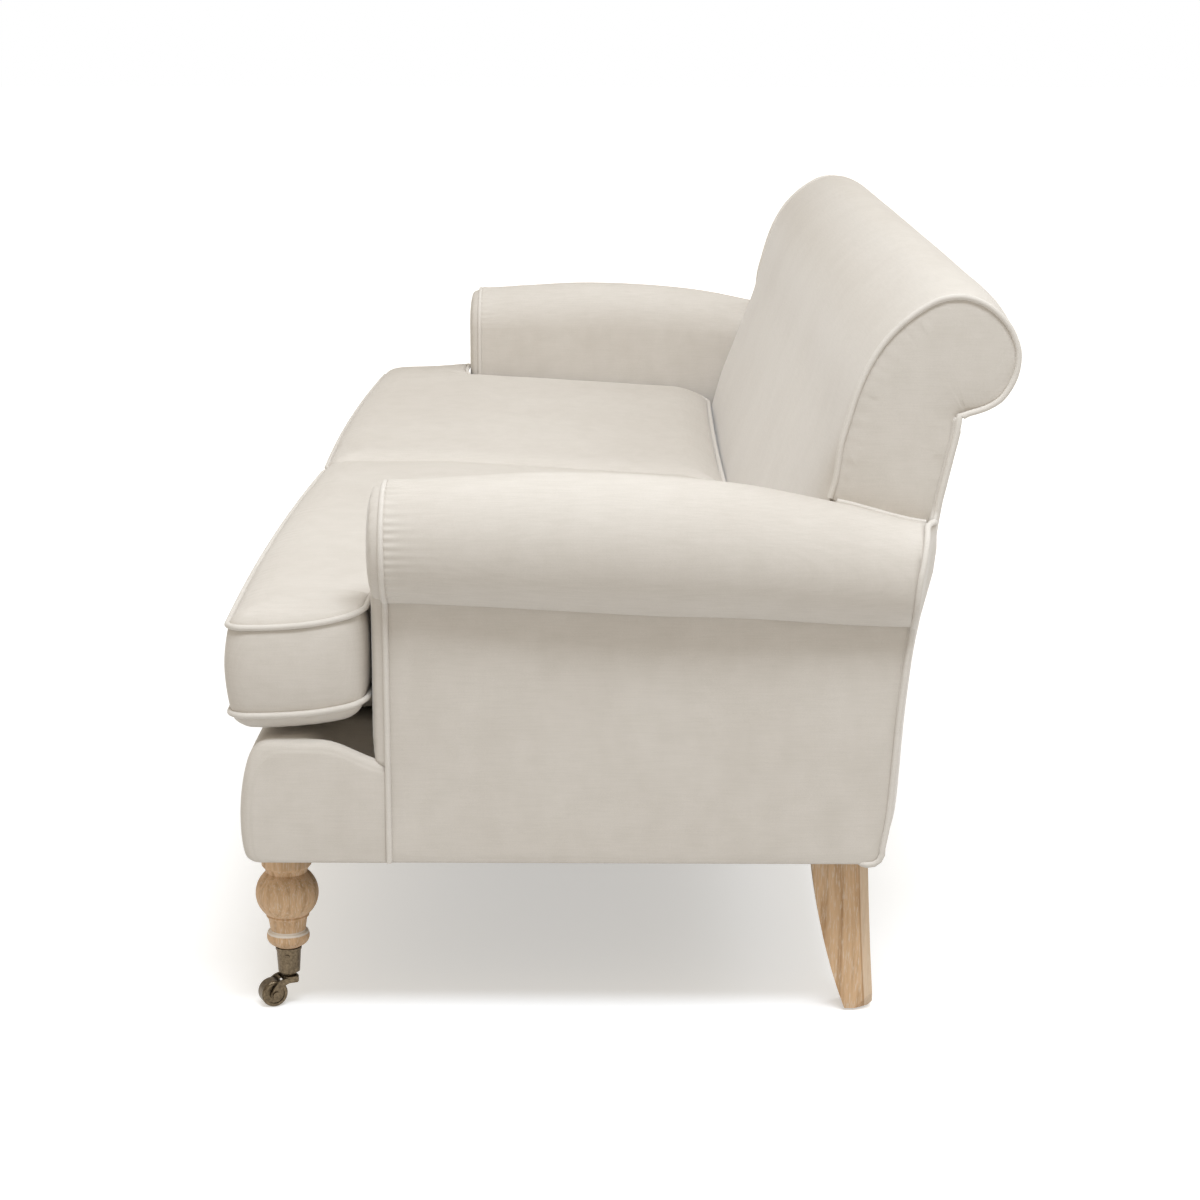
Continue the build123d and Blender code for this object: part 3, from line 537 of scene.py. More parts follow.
def padPanel(outline, outward, shape, axes):
    bm = bmesh.new()
    face = bm.faces.new([bm.verts.new(p) for p in outline])
    face.normal_update()
    if face.normal.dot(outward) < 0:
        bmesh.ops.reverse_faces(bm, faces=[face])
    lid = raiseLid(bm, face, outward * shape["thick"] * mm)
    bmesh.ops.reverse_faces(bm, faces=[face])
    roundRim(bm, lid, shape["rim"])
    bmesh.ops.triangulate(bm, faces=[f for f in bm.faces if len(f.verts) > 4])
    for axis in axes:
        gridCut(bm, axis, shape["grid"])
    tree = treeOf(evenly(outline, pucker["edgeStep"] * mm))
    base = outline[0].dot(outward)
    for v in bm.verts:
        up = v.co.dot(outward) - base
        if up > (shape["thick"] - 0.1) * mm:
            spot, index, away = tree.find(v.co - outward * up)
            away /= mm
            push = shape["rise"] * (1 - math.exp(-away / shape["reach"]))
            fold = math.sin(index * pucker["turn"] + pucker["stray"] * drift(index * 0.11, 5.3, 0))
            fold *= math.exp(-away / pucker["reach"]) * min(1.0, away / pucker["start"])
            push += shape["folds"] * fold
            lump = noise.noise(v.co * pucker["lumpScale"])
            push += shape["lumps"] * lump * min(1.0, away / pucker["lumpStart"])
            v.co += outward * push * mm
    return bm


# the outside back's line as height and depth, shared by the pieces that end on it, and how far it is
# drawn in over the arms

backLine = [
    (198, 308), (254, 317), (314, 322), (379, 327), (444, 334), (480, 341), (530, 352), (576, 362),
    (616, 370), (660, 380), (715, 391),
]
backDraw = {"deep": 12.0, "x": (1000, 40), "z": (460, 90)}


def backDepth(z, x=0.0):
    over = ease(abs(x), backDraw["x"]) * ease(z, backDraw["z"])
    return valueAt(backLine, z)[0] - backDraw["deep"] * over


# arms: stuffed roll over the inside arm

arm = {
    "axisX": 1019.5, "front": -262.0, "rear": 352.0,
    # depth, roll radius, height of the roll's axis
    "stations": [
        (-266, 69.2, 574.4), (-240, 70.4, 574.9), (-187, 73.5, 575.6), (-79, 78.5, 575.4), (34, 80.4, 571.0),
        (148, 76.6, 563.6), (262, 69.0, 549.0), (352, 60.0, 536.5),
    ],
    "panelX": 1045.0, "wallIn": 947.5, "wallOut": 965.5, "wallFoot": 318.0, "wallSteps": 40,
    # the top rail inside the pad: height, fall per millimetre of depth, where the fall starts
    "rail": (512, 0.0367, -247), "railIn": 988.9, "railOut": 1035.1, "railTop": 45.6, "railLow": 0.6,
    # the rear part passes beside the back post and ends before the outside back
    "postFront": 243.0, "postSide": 989.6, "rearInset": 7.0,
    "gathers": 1.25, "gatherReach": 17.0, "gatherWave": 10.0, "gatherStep": 1.6, "gatherStray": 2.4,
    "lumps": 1.3, "innerEase": 8.0, "easeRadius": (69, 11),
}


def armGather(step, near):
    # folds beside the facing's welt, by step round the roll and distance from the welt
    along = step * arm["gatherStep"]
    stray = arm["gatherStray"] * drift(along * 0.03, 3.1, 0)
    ripple = math.sin(along * 2 * math.pi / arm["gatherWave"] + stray)
    strong = 0.55 + 0.9 * max(0.0, drift(along * 0.022, 8.4, 0) + 0.25)
    strong *= soften((step + 8) / 30)
    reach = arm["gatherReach"] * (0.7 + 0.8 * abs(drift(along * 0.05, 1.4, 0)))
    return arm["gathers"] * strong * (0.45 + ripple) * math.exp(-near / reach) * min(1.0, near / 3 + 0.2)


def armRing(y, count=190):
    r, z = valueAt(arm["stations"], y)
    x0, wall, wallIn, foot = arm["axisX"], arm["wallSteps"], arm["wallIn"], arm["wallFoot"]
    height, fall, start = arm["rail"]
    rail = height - fall * (y - start)
    lean = arm["innerEase"] * ease(r, arm["easeRadius"])
    points = []
    for k in range(wall):
        t = k / wall
        points.append((wallIn + (x0 - r + lean - wallIn) * t, foot + (z - foot) * t))
    last = -math.acos((arm["panelX"] - x0) / r)
    for k in range(count + 1):
        a = math.pi + (last - math.pi) * k / count
        inner = lean * soften((a / math.pi - 0.55) / 0.45)
        points.append((x0 + r * math.cos(a) + inner, z + r * math.sin(a)))
    shown = len(points)
    top, low = rail + arm["railTop"], rail - arm["railLow"]
    points += [(arm["railOut"], points[-1][1] + 1), (arm["railOut"], top), (arm["railIn"], top)]
    points += [(arm["railIn"], low), (arm["wallOut"], low), (arm["wallOut"], foot)]
    ring = []
    near = max(0.0, y - arm["front"])
    for k, (x, h) in enumerate(points):
        if k < shown:
            away = Vector((x - x0, 0, h - z)).normalized()
            push = armGather(k - wall, near)
            push += arm["lumps"] * drift(x * 0.008, y * 0.006, h * 0.008)
            x += away.x * push
            h += away.z * push
        deep = min(y, backDepth(h, x) - arm["rearInset"])
        if y > arm["postFront"]:
            x = max(x, arm["postSide"])
        ring.append(at(x, deep, h))
    return ring


def armTop(x, y):
    r, z = valueAt(arm["stations"], y)
    return z + math.sqrt(r * r - (x - arm["axisX"]) ** 2)


def makeArm(side):
    # fine steps behind the facing, wider ones to the post, and the part beside the post
    front, post = arm["front"], arm["postFront"]
    steps = [front + 4 * k for k in range(16)]
    steps += [front + 64 + 11 * k for k in range(1, 40)]
    steps = [y for y in steps if y < post - 3] + [post - 0.1, post + 0.1]
    steps += [post + (arm["rear"] - post) * k / 10 for k in range(1, 11)]
    bm = bmesh.new()
    loft(bm, [armRing(y) for y in steps])
    pad = addPiece(side + "ArmPad", bm, mirror=side == "right")
    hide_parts(side + "_arm_pad")


for side in ("left", "right"):
    makeArm(side)
print("arm pads made")


# arm facings: domed keyhole pads framed by a welt

facing = {
    "headX": 1019.5, "headZ": 573.6, "headRadius": 67.0,
    "inX": 951.5, "outX": 1043.5, "foot": 315.6, "back": -264.0,
    "thick": 2.0, "rim": [(0.8, 3.4), (1.4, 3.0), (2.0, 2.4)], "grid": 7.0,
    "rise": 9.5, "reach": 15.0, "folds": 0.5, "lumps": 0.8,
    "weltY": -263.6, "weltOut": 1.6, "weltTail": (300, 285, 270, 255, 240, 225, 212, 200),
}


def facingOutline(grow=0.0):
    r = facing["headRadius"] + grow
    x0, z0, foot = facing["headX"], facing["headZ"], facing["foot"]
    outX, inX = facing["outX"] + grow, facing["inX"] - grow
    points = [(inX, foot + (z0 - foot) * k / 14) for k in range(14)]
    points += arc(x0, z0, r, math.pi, -math.acos((outX - x0) / r), 40)
    turn = points[-1][1]
    return points + [(outX, turn + (foot - turn) * k / 13) for k in range(1, 14)]


def makeFacing(side):
    outline = [at(x, facing["back"], z) for x, z in facingOutline()]
    bm = padPanel(outline, Vector((0, -1, 0)), facing, (0, 2))
    pad = addPiece(side + "ArmFacing", bm, mirror=side == "right")
    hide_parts(side + "_arm_facing")
    out = facing["weltOut"]
    line = facingOutline(out) + [(facing["outX"] + out, z) for z in facing["weltTail"]]
    addWelt(side, "FacingWelt", [at(x, facing["weltY"], z) for x, z in line])


for side in ("left", "right"):
    makeFacing(side)
print("facings made")


# outside arm panels

armPanel = {
    "inX": 1035.6,
    # depth and height round the edge, from the lower front corner
    "edge": [
        (-263.5, 199.5), (286, 199.5), (296, 201.5), (302.5, 206.5), (306.5, 215), (312.5, 254), (317, 314),
        (320, 379), (326, 444), (331, 483), (264, 489), (151, 496), (37, 500), (-76, 506), (-190, 511),
        (-263.5, 515),
    ],
    "thick": 7.0, "rim": [(0.8, 0.6), (1.2, 0.3)], "grid": 14.0,
    "rise": 2.6, "reach": 40.0, "folds": 0.35, "lumps": 0.8,
}


def makeArmPanel(side):
    outline = [at(armPanel["inX"], y, z) for y, z in armPanel["edge"]]
    bm = padPanel(outline, Vector((1, 0, 0)), armPanel, (1, 2))
    panel = addPiece(side + "OutsideArm", bm, mirror=side == "right")
    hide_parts(side + "_outside_arm_panel")


for side in ("left", "right"):
    makeArmPanel(side)
print("outside arms made")


# back: tight pad that rolls over the top, crowned between its end welts

back = {
    "end": 989.0, "arms": 951.0,
    # lowest line over the arms: depth, height there and slope; it stays under the roll's surface
    "crest": (247.0, 622.0, -0.30), "underRoll": 7.0, "rearRun": 60, "rearLeast": 330.0,
    "crownReach": 42.0, "crownBow": 0.07, "lumps": 1.6, "lumpReach": 60, "lumpEnd": 0.93,
    # small pulls beside the upper end welt, with their share of the outline
    "pulls": 0.9, "pullReach": 9.0, "pullWave": 11.0, "pullStep": 7.4, "pullFrom": 0.30, "pullTo": 0.56,
    # outline at the end welt, depth and height, from the deck up and over to the neck
    "welted": [
        (180, 345.6), (175, 373), (174, 410), (183, 447), (199, 503), (223, 568), (246, 634), (253, 679),
        (260, 706), (268, 734), (277, 759), (288, 781), (302, 802), (320, 821), (338, 835), (357, 846),
        (375, 851), (393, 850.5), (412, 843.5), (428, 832), (441, 817), (449, 800), (452, 785), (450, 766),
        (443, 749), (433, 735.5), (420, 727), (407, 722), (397, 719), (391, 715.6),
    ],
    # the same at the middle, where the stuffing stands proud
    "crowned": [
        (160, 345.6), (156, 373), (155, 410), (164, 447), (180, 503), (204, 568), (229, 634), (247, 680),
        (256, 708), (265, 736), (275, 761.5), (286.5, 784), (301, 806), (319.5, 826), (338.5, 841.5),
        (358.5, 854), (378, 860), (399, 860), (420, 852.5), (437.5, 839.5), (450, 822), (457.5, 803),
        (460, 785), (457.5, 764), (449, 745), (437, 730), (422, 721), (408, 717.5), (397, 716.5),
        (391, 715.6),
    ],
    "inside": [(381.2, 715.8), (396.5, 790.6), (337.3, 790.6), (242.9, 390.0), (242.9, 345.6)],
}


def crestAt(x, y):
    r, z = valueAt(arm["stations"], y)
    inward = arm["axisX"] - abs(x)
    roll = z + math.sqrt(max(0.0, r * r - inward * inward))
    depth, height, slope = back["crest"]
    return min(height + slope * (y - depth), roll - back["underRoll"])


def backPoint(t, share):
    one = curveThrough(back["welted"], t)
    two = curveThrough(back["crowned"], t)
    return [p + (q - p) * share for p, q in zip(one, two)]


def backRing(x, over, count=150):
    # over: only what stands above the arms
    away = back["end"] - abs(x)
    share = 1 - math.exp(-away / back["crownReach"])
    share *= 1 - back["crownBow"] + back["crownBow"] * (1 - (x / back["end"]) ** 2)
    ring = []
    for k in range(count + 1):
        y, z = backPoint(k / count, share)
        lump = back["lumps"] * min(1.0, away / back["lumpReach"]) * drift(x * 0.004, y * 0.007, z * 0.007)
        if k < count * back["lumpEnd"]:
            y -= lump
        if count * back["pullFrom"] < k < count * back["pullTo"]:
            pull = back["pulls"] * math.exp(-away / back["pullReach"]) * min(1.0, away / 4)
            turn = k * back["pullStep"] * 2 * math.pi / back["pullWave"]
            pull *= math.sin(turn + 2.0 * drift(k * 0.2, 6.0, 0))
            y -= pull * 0.7
            z += pull * 0.7
        ring.append((y, z))
    ring += back["inside"]
    if over:
        meet = next(y for y, z in ring if z >= crestAt(x, y))
        rear = max(meet + back["rearRun"], back["rearLeast"])
        for k, (y, z) in enumerate(ring):
            if z < crestAt(x, y):
                y = min(max(y, meet), rear)
                ring[k] = (y, crestAt(x, y))
    return [at(x, y, z) for y, z in ring]


def makeBack():
    bm = bmesh.new()
    arms, end = back["arms"], back["end"]
    middle = [-arms + 2 * arms * k / 110 for k in range(111)]
    first = arms + 0.2
    tips = [first] + [first + (end - arms - 0.2) * math.sin(k / 14 * math.pi / 2) for k in range(1, 15)]
    rings = [backRing(-x, True) for x in reversed(tips)]
    rings += [backRing(x, False) for x in middle]
    rings += [backRing(x, True) for x in tips]
    loft(bm, rings)
    pad = addPiece("insideBack", bm)
    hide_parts("inside_back_pad")


makeBack()


# end panels of the back, which end on the arms' rolls

endPanel = {
    "inX": 989.4, "thick": 5.0, "rim": [(0.7, 0.8), (1.2, 0.5)], "grid": 8.0,
    "rise": 3.4, "reach": 16.0, "folds": 0.45, "lumps": 0.7,
    "dimple": (391.0, 713.0), "dimpleDeep": 6.5, "dimpleReach": 30.0,
    # depth and height down the rear edge, and depths along the foot
    "rear": [(388, 700), (382, 670), (376, 640), (369, 610), (364, 584)],
    "footX": 996.0, "foot": (350, 330, 310, 290, 270, 254),
    "weltX": 996.5, "footWeltX": 998.5, "footWeltUp": 1.2,
}
endEdge = [curveThrough(back["welted"], t / 160) for t in range(161)]
endEdge = [(y, z) for y, z in endEdge if z > armTop(endPanel["footX"], y) - 4]


def makeEndPanel(side):
    low = [(y, armTop(endPanel["footX"], y) - 5) for y in endPanel["foot"]]
    outline = [at(endPanel["inX"], y, z) for y, z in endEdge + endPanel["rear"] + low]
    bm = padPanel(outline, Vector((1, 0, 0)), endPanel, (1, 2))
    pull = at(0, *endPanel["dimple"])
    for v in bm.verts:
        if v.co.x > (endPanel["inX"] + endPanel["thick"]) * mm:
            away = (Vector((0, v.co.y, v.co.z)) - pull).length / mm
            v.co.x -= endPanel["dimpleDeep"] * mm * math.exp(-away / endPanel["dimpleReach"])
    panel = addPiece(side + "BackEnd", bm, mirror=side == "right")
    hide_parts(side + "_back_end_panel")


# welt round the outside back, from its foot, round the rear end of the arm's roll and up to the neck

rearWelt = {
    "foot": [
        (1037.0, 280.0, 201.5), (1041.0, 284.0, 199.6), (1044.0, 290.0, 199.0), (1045.0, 297.5, 200.4),
        (1045.0, 303.5, 204.8), (1045.0, 306.8, 212.0),
    ],
    "neck": [(996.4, 391.5, 717.2), (996.0, 397.5, 719.2), (996.0, 405.0, 721.4)],
    "lowX": 1045.0, "highX": 999.5, "top": [(998.5, 713.5), (997.5, 716.5)], "inset": 4.0,
    "rollDepth": 345, "rollTurn": 0.6,
}


def rollEnd(outX, inset, parts):
    r, z0 = valueAt(arm["stations"], rearWelt["rollDepth"])
    start = -math.acos((outX - arm["axisX"]) / r)
    return arc(arm["axisX"], z0, r - inset, start, math.pi * rearWelt["rollTurn"], parts)


def rearEdge():
    points = [(rearWelt["lowX"], z) for z in range(220, 470, 12)]
    points += rollEnd(rearWelt["lowX"], 0.0, 32)
    points += [(rearWelt["highX"], z) for z in range(608, 714, 10)] + rearWelt["top"]
    line = [(x, backDepth(z, x) - rearWelt["inset"], z) for x, z in points]
    return [at(*p) for p in rearWelt["foot"] + line + rearWelt["neck"]]


for side in ("left", "right"):
    makeEndPanel(side)
    addWelt(side, "BackEndWelt", [at(endPanel["weltX"], y, z) for y, z in endEdge])
    addWelt(side, "RearWelt", rearEdge())
    x, up = endPanel["footWeltX"], endPanel["footWeltUp"]
    addWelt(side, "BackFootWelt", [at(x, y, armTop(x, y) + up) for y in range(250, 358, 6)])
print("back made")


# outside back, a flat panel with a slight swell

outsideBack = {
    "lowX": 1043.5, "rollInset": 1.5, "highX": 998.0, "top": 714.5, "inset": 4.5,
    "thick": 6.0, "rim": [(0.8, 0.8), (1.4, 0.6)], "grid": 26.0,
    "rise": 13.5, "reach": 30.0, "folds": 0.5, "lumps": 1.2,
}


def makeOutsideBack():
    b = outsideBack
    half = [(b["lowX"], z) for z in range(200, 480, 20)]
    half += rollEnd(b["lowX"], b["rollInset"], 24)
    half += [(b["highX"], z) for z in range(612, 714, 14)] + [(b["highX"], b["top"])]
    outline = half + [(-x, z) for x, z in reversed(half)]
    bm = padPanel([at(x, 0, z) for x, z in outline], Vector((0, 1, 0)), b, (0, 2))
    for v in bm.verts:
        v.co.y += (backDepth(v.co.z / mm, v.co.x / mm) - b["thick"] - b["inset"]) * mm
    panel = addPiece("outsideBack", bm)
    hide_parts("outside_back_panel")


makeOutsideBack()
print("outside back made")


# front border under the cushions, lower and hollowed beside its ends, where the cushions' ears lie over it

border = {
    "end": 1044.0, "round": 13.0,
    # depth and height: foot, bulging front, brow and top
    "section": [
        (-425, 199.5), (-431, 204), (-434.5, 216), (-436.5, 236), (-436.5, 262), (-434, 288), (-429, 313),
        (-423, 330), (-414, 340.5), (-402, 344.4), (-380, 345), (-340, 345), (-300, 345), (-266.5, 344),
    ],
    "inside": [(-266.5, 199.5)],
    "frontY": (-340, -60), "browFall": 0.8, "browZ": (300, 40), "lumps": 1.1,
    "endFall": 24.0, "fallX": (945, 80), "fallY": (-342, 78), "fallZ": (300, 30),
    "hollow": 30.0, "hollowX": (945, 25), "hollowEnd": (1034, -20), "hollowY": (-362, 50),
    "hollowZ": (290, 30),
    "cap": [(1.0, 0.5), (1.5, 0.4), (2.5, 0.3)],
}


def borderRing(x, count=60):
    b = border
    r, side = b["round"], abs(x)
    inset = r - math.sqrt(max(0.0, r * r - max(0.0, r - (b["end"] - side)) ** 2))
    ring = []
    for k in range(count + 1):
        y, z = curveThrough(b["section"], k / count)
        front = ease(y, b["frontY"])
        y += inset * front
        z -= inset * b["browFall"] * ease(z, b["browZ"])
        z -= b["endFall"] * ease(y, b["fallY"]) * ease(side, b["fallX"]) * ease(z, b["fallZ"])
        within = ease(side, b["hollowX"]) * ease(side, b["hollowEnd"])
        z -= b["hollow"] * ease(y, b["hollowY"]) * within * ease(z, b["hollowZ"])
        y += b["lumps"] * drift(x * 0.006, 7.7, z * 0.01) * front
        ring.append(at(x, y, z))
    return ring + [at(x, y, z) for y, z in b["inside"]]


def makeBorder():
    bm = bmesh.new()
    end, r = border["end"], border["round"]
    tips = [end - r * (1 - math.cos(k / 10 * math.pi / 2)) for k in range(11)]
    tips = sorted(set(round(x, 3) for x in tips), reverse=True)
    middle = [-(end - r) + 2 * (end - r) * k / 100 for k in range(1, 100)]
    xs = [-x for x in tips] + middle + list(reversed(tips))
    loft(bm, [borderRing(x) for x in xs])
    for cap in [f for f in bm.faces if len(f.verts) > 20]:
        roundRim(bm, cap, border["cap"])
    pad = addPiece("frontBorder", bm)
    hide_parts("front_border")


makeBorder()
print("border made")


# seat cushions: boxed half-T forms; a short cloth run between their welts gives a share of the swell of
# their tops and bottoms, and vertex moves give the rest, the boxing's bulge and the gathers

cushion = {
    "near": 2.0, "far": 934.0, "ear": 1041.0, "front": -446.0, "rear": 149.5, "earRear": -288.5,
    "corner": 22.0, "frontBow": 9.0, "rearDraw": 4.0, "bowHalf": 490,
    "lowWelt": 375.0, "topWelt": 478.5, "floor": 345.6, "ceiling": 507.0,
    "voxel": 8.2, "quickGrid": (24.0, 24.0, 16.0), "heldLevel": 5.0, "heldEdge": 8.5,
    "frames": 20,
    "cloth": {
        "quality": 6, "mass": 0.25, "tension_stiffness": 12, "compression_stiffness": 12,
        "shear_stiffness": 4, "bending_stiffness": 0.6, "use_pressure": True, "uniform_pressure_force": 4.0,
        "vertex_group_mass": "held",
    },
    "blownShare": 0.25, "blownLimit": 1.25, "cap": 30.0, "faceLevel": 0.94,
    "crownReach": 62.0, "bottomReach": 40.0, "lumps": 1.3,
    "boxingBulge": 6.5, "boxingWave": 0.7, "boxingLumps": 1.0,
    "gathers": 3.0, "gatherReach": 18.0, "gatherWave": 19.0, "gatherStart": 5, "gatherStray": 2.6,
    "rimStep": 4.0, "earLift": (17.0, 20.0), "earX": (922, 34), "earEase": 0.85,
    "slope": 0.155, "slopeFrom": -261, "slopeOver": 405,
    "rearDroop": 14.0, "droopY": (85, 65), "rearLean": 10.0, "leanY": (30, 110),
}


def cushionOutline(grow=0.0, step=12.0):
    # plan of a cushion with rounded corners, as a closed line of points
    c = cushion
    corners = [
        (c["near"], c["front"]), (c["ear"], c["front"]), (c["ear"], c["earRear"]),
        (c["far"], c["earRear"]), (c["far"], c["rear"]), (c["near"], c["rear"]),
    ]
    bm = bmesh.new()
    bm.faces.new([bm.verts.new((x, y, 0)) for x, y in corners])
    bmesh.ops.bevel(bm, geom=bm.verts[:], offset=c["corner"], offset_type="OFFSET", segments=7, profile=0.5,
                    affect="VERTICES", material=-1)
    loop = [v.co.copy() for v in max(bm.faces, key=lambda f: f.calc_area()).verts]
    bm.free()
    points = evenly(loop, step)
    middleX = (c["near"] + c["ear"]) / 2
    for p in points:
        bow = max(0.0, 1 - ((p.x - middleX) / c["bowHalf"]) ** 2)
        if p.y < c["front"] + 1:
            p.y -= c["frontBow"] * bow
        elif p.y > c["rear"] - 1:
            p.y -= c["rearDraw"] * bow
    if grow:
        points = [p + way * grow for p, way in zip(points, outwardOf(points))]
    return points


def cushionLie(x, y, z):
    # the ear's welts ride up against the arm's facing, and the seat slopes down and leans to the rear
    c = cushion
    low, top = c["lowWelt"], c["topWelt"]
    near = clamp((y - c["front"]) / (c["earRear"] - c["front"]))
    ear = near ** 3 * ease(x, c["earX"])
    share = clamp((z - low) / (top - low))
    lift = c["earLift"][0] + (c["earLift"][1] - c["earLift"][0]) * share
    lift *= 1 - c["earEase"] * soften((z - top) / (c["ceiling"] - top))
    fall = c["slope"] * clamp((y - c["slopeFrom"]) / c["slopeOver"])
    z -= c["rearDroop"] * share * ease(y, c["droopY"])
    y += c["rearLean"] * share * share * ease(y, c["leanY"])
    return x, y, c["floor"] + (z + ear * lift - c["floor"]) * (1 - fall)


def blowUp(piece, pinned):
    # cloth under pressure with its welts held; gives the places before the run
    remesh = piece.modifiers.new("even", "REMESH")
    remesh.mode = "VOXEL"
    remesh.voxel_size = cushion["voxel"] * mm
    graph = bpy.context.evaluated_depsgraph_get()
    even = bpy.data.meshes.new_from_object(piece.evaluated_get(graph))
    piece.modifiers.clear()
    piece.data = even
    start = [v.co.copy() for v in even.vertices]
    held = piece.vertex_groups.new(name="held")
    held.add([i for i, p in enumerate(start) if pinned(p)], 1.0, "ADD")
    cloth = piece.modifiers.new("cloth", "CLOTH")
    for name, value in cushion["cloth"].items():
        setattr(cloth.settings, name, value)
    cloth.settings.effector_weights.gravity = 0
    cloth.collision_settings.use_collision = False
    cloth.point_cache.frame_end = cushion["frames"]
    scene = bpy.context.scene
    for number in range(1, cushion["frames"] + 1):
        scene.frame_set(number)
    graph = bpy.context.evaluated_depsgraph_get()
    blown = bpy.data.meshes.new_from_object(piece.evaluated_get(graph))
    piece.modifiers.clear()
    piece.vertex_groups.clear()
    piece.data = blown
    scene.frame_set(1)
    return start


def cushionBlank(outline):
    low, top = cushion["lowWelt"], cushion["topWelt"]
    bm = bmesh.new()
    face = bm.faces.new([bm.verts.new(at(p.x, p.y, low)) for p in outline])
    raiseLid(bm, face, at(0, 0, top - low))
    bmesh.ops.triangulate(bm, faces=[f for f in bm.faces if len(f.verts) > 4])
    return bm


def makeCushions():
    c = cushion
    low, top = c["lowWelt"], c["topWelt"]
    half = (top - low) / 2
    rim = cushionOutline(0.0, c["rimStep"])
    outward = outwardOf(rim)
    tree = treeOf([Vector((p.x, p.y, 0)) for p in rim])

    def edgeOf(p):
        spot, index, away = tree.find((p.x / mm, p.y / mm, 0))
        return away, index

    def pinned(p):
        level = min(abs(p.z / mm - low), abs(p.z / mm - top))
        return level < c["heldLevel"] and edgeOf(p)[0] < c["heldEdge"]

    first = addPiece("leftSeatCushion", cushionBlank(cushionOutline()), "left_cushion")
    start = blowUp(first, pinned)
    blown = [v.co.copy() for v in first.data.vertices]
    print("cushion swelled by", round(max((b - a).length for a, b in zip(start, blown)) / mm, 1), "mm")
    second = placePiece("rightSeatCushion", first.data.copy(), "right_cushion")
    edges = [edgeOf(p) for p in start]
    for pad, side, seed in ((first, "left", 3.0), (second, "right", 11.0)):
        for v, old, new, (away, index) in zip(pad.data.vertices, start, blown, edges):
            move = (new - old) / mm
            place = old / mm
            level = (place.z - low - half) / half
            stray = c["gatherStray"] * drift(index * 0.09, seed, 0)
            wave = math.sin(index * c["rimStep"] * 2 * math.pi / c["gatherWave"] + stray)
            wave *= 0.35 + 0.9 * max(0.0, drift(index * 0.05, seed, 4.0) + 0.3)
            if abs(level) > c["faceLevel"]:
                sign = 1 if level > 0 else -1
                tall = (c["ceiling"] - top) if sign > 0 else (low - c["floor"])
                rise = min(1.0, away / (c["crownReach"] if sign > 0 else c["bottomReach"]))
                crown = tall * math.sqrt(max(0.0, 1 - (1 - rise) ** 2))
                swell = min(min(max(sign * move.z, 0.0), c["cap"]), crown * c["blownLimit"])
                lift = (1 - c["blownShare"]) * crown + c["blownShare"] * swell
                gather = math.exp(-away / c["gatherReach"]) * min(1.0, away / c["gatherStart"])
                lift += c["gathers"] * wave * gather
                lift += c["lumps"] * drift(place.x * 0.008, place.y * 0.008, seed) * rise
                place.z += sign * lift
            else:
                bow = 1 - level * level
                out = c["boxingBulge"] * bow * (1 - 0.5 * max(0.0, outward[index].y))
                out += c["boxingWave"] * wave * (1 - abs(level)) * abs(level) * 2
                out += c["boxingLumps"] * drift(index * 0.05, level, seed) * bow
                place += outward[index] * out
            x, y, z = cushionLie(*place)
            v.co = at(x, y, max(c["floor"], z))
        smoothFaces(pad.data)
        if side == "right":
            bm = bmesh.new()
            bm.from_mesh(pad.data)
            mirrorMesh(bm)
            bm.to_mesh(pad.data)
            bm.free()
        pad.data.materials.clear()
        pad.data.materials.append(velvet)
        sub = pad.modifiers.new("soft", "SUBSURF")
        sub.levels = 1
        sub.render_levels = 1
        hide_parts(side + "_seat_cushion")
        for name, height in (("CushionTopWelt", top), ("CushionLowWelt", low)):
            line = [at(*cushionLie(p.x, p.y, height)) for p in cushionOutline(1.0, 7.0)]
            addWelt(side, name, line, side + "_cushion", closed=True)


makeCushions()
print("cushions made")


# seat deck under the cushions

deck = {"half": 937.0, "front": -265.0, "rear": 243.5, "top": 345.0, "thick": 17.0, "round": 6.0}


def makeDeck():
    d = deck
    size = at(2 * d["half"], d["rear"] - d["front"], d["thick"])
    middle = at(0, (d["rear"] + d["front"]) / 2, d["top"] - d["thick"] / 2)
    bm = bmesh.new()
    bmesh.ops.create_cube(bm, size=1.0)
    bmesh.ops.scale(bm, vec=size, verts=bm.verts)
    bmesh.ops.translate(bm, vec=middle, verts=bm.verts)
    bmesh.ops.bevel(bm, geom=bm.edges[:], offset=d["round"] * mm, offset_type="OFFSET", segments=4,
                    profile=0.5, affect="EDGES", material=-1)
    pad = addPiece("seatDeck", bm, material=deckCloth)
    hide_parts("seat_deck")


makeDeck()
print("deck made")


# dust cover: black cloth stretched under the frame, cut out round the legs

dustCover = {
    "frontLeg": (970.0, -393.0), "frontHole": 31.0, "rearLeg": (970.0, 225.0), "notch": 25.0,
    "grid": 45.0, "sag": 3.5, "sagReach": 120.0, "ripple": 0.5, "rippleScale": 7.0, "thick": 0.5,
}


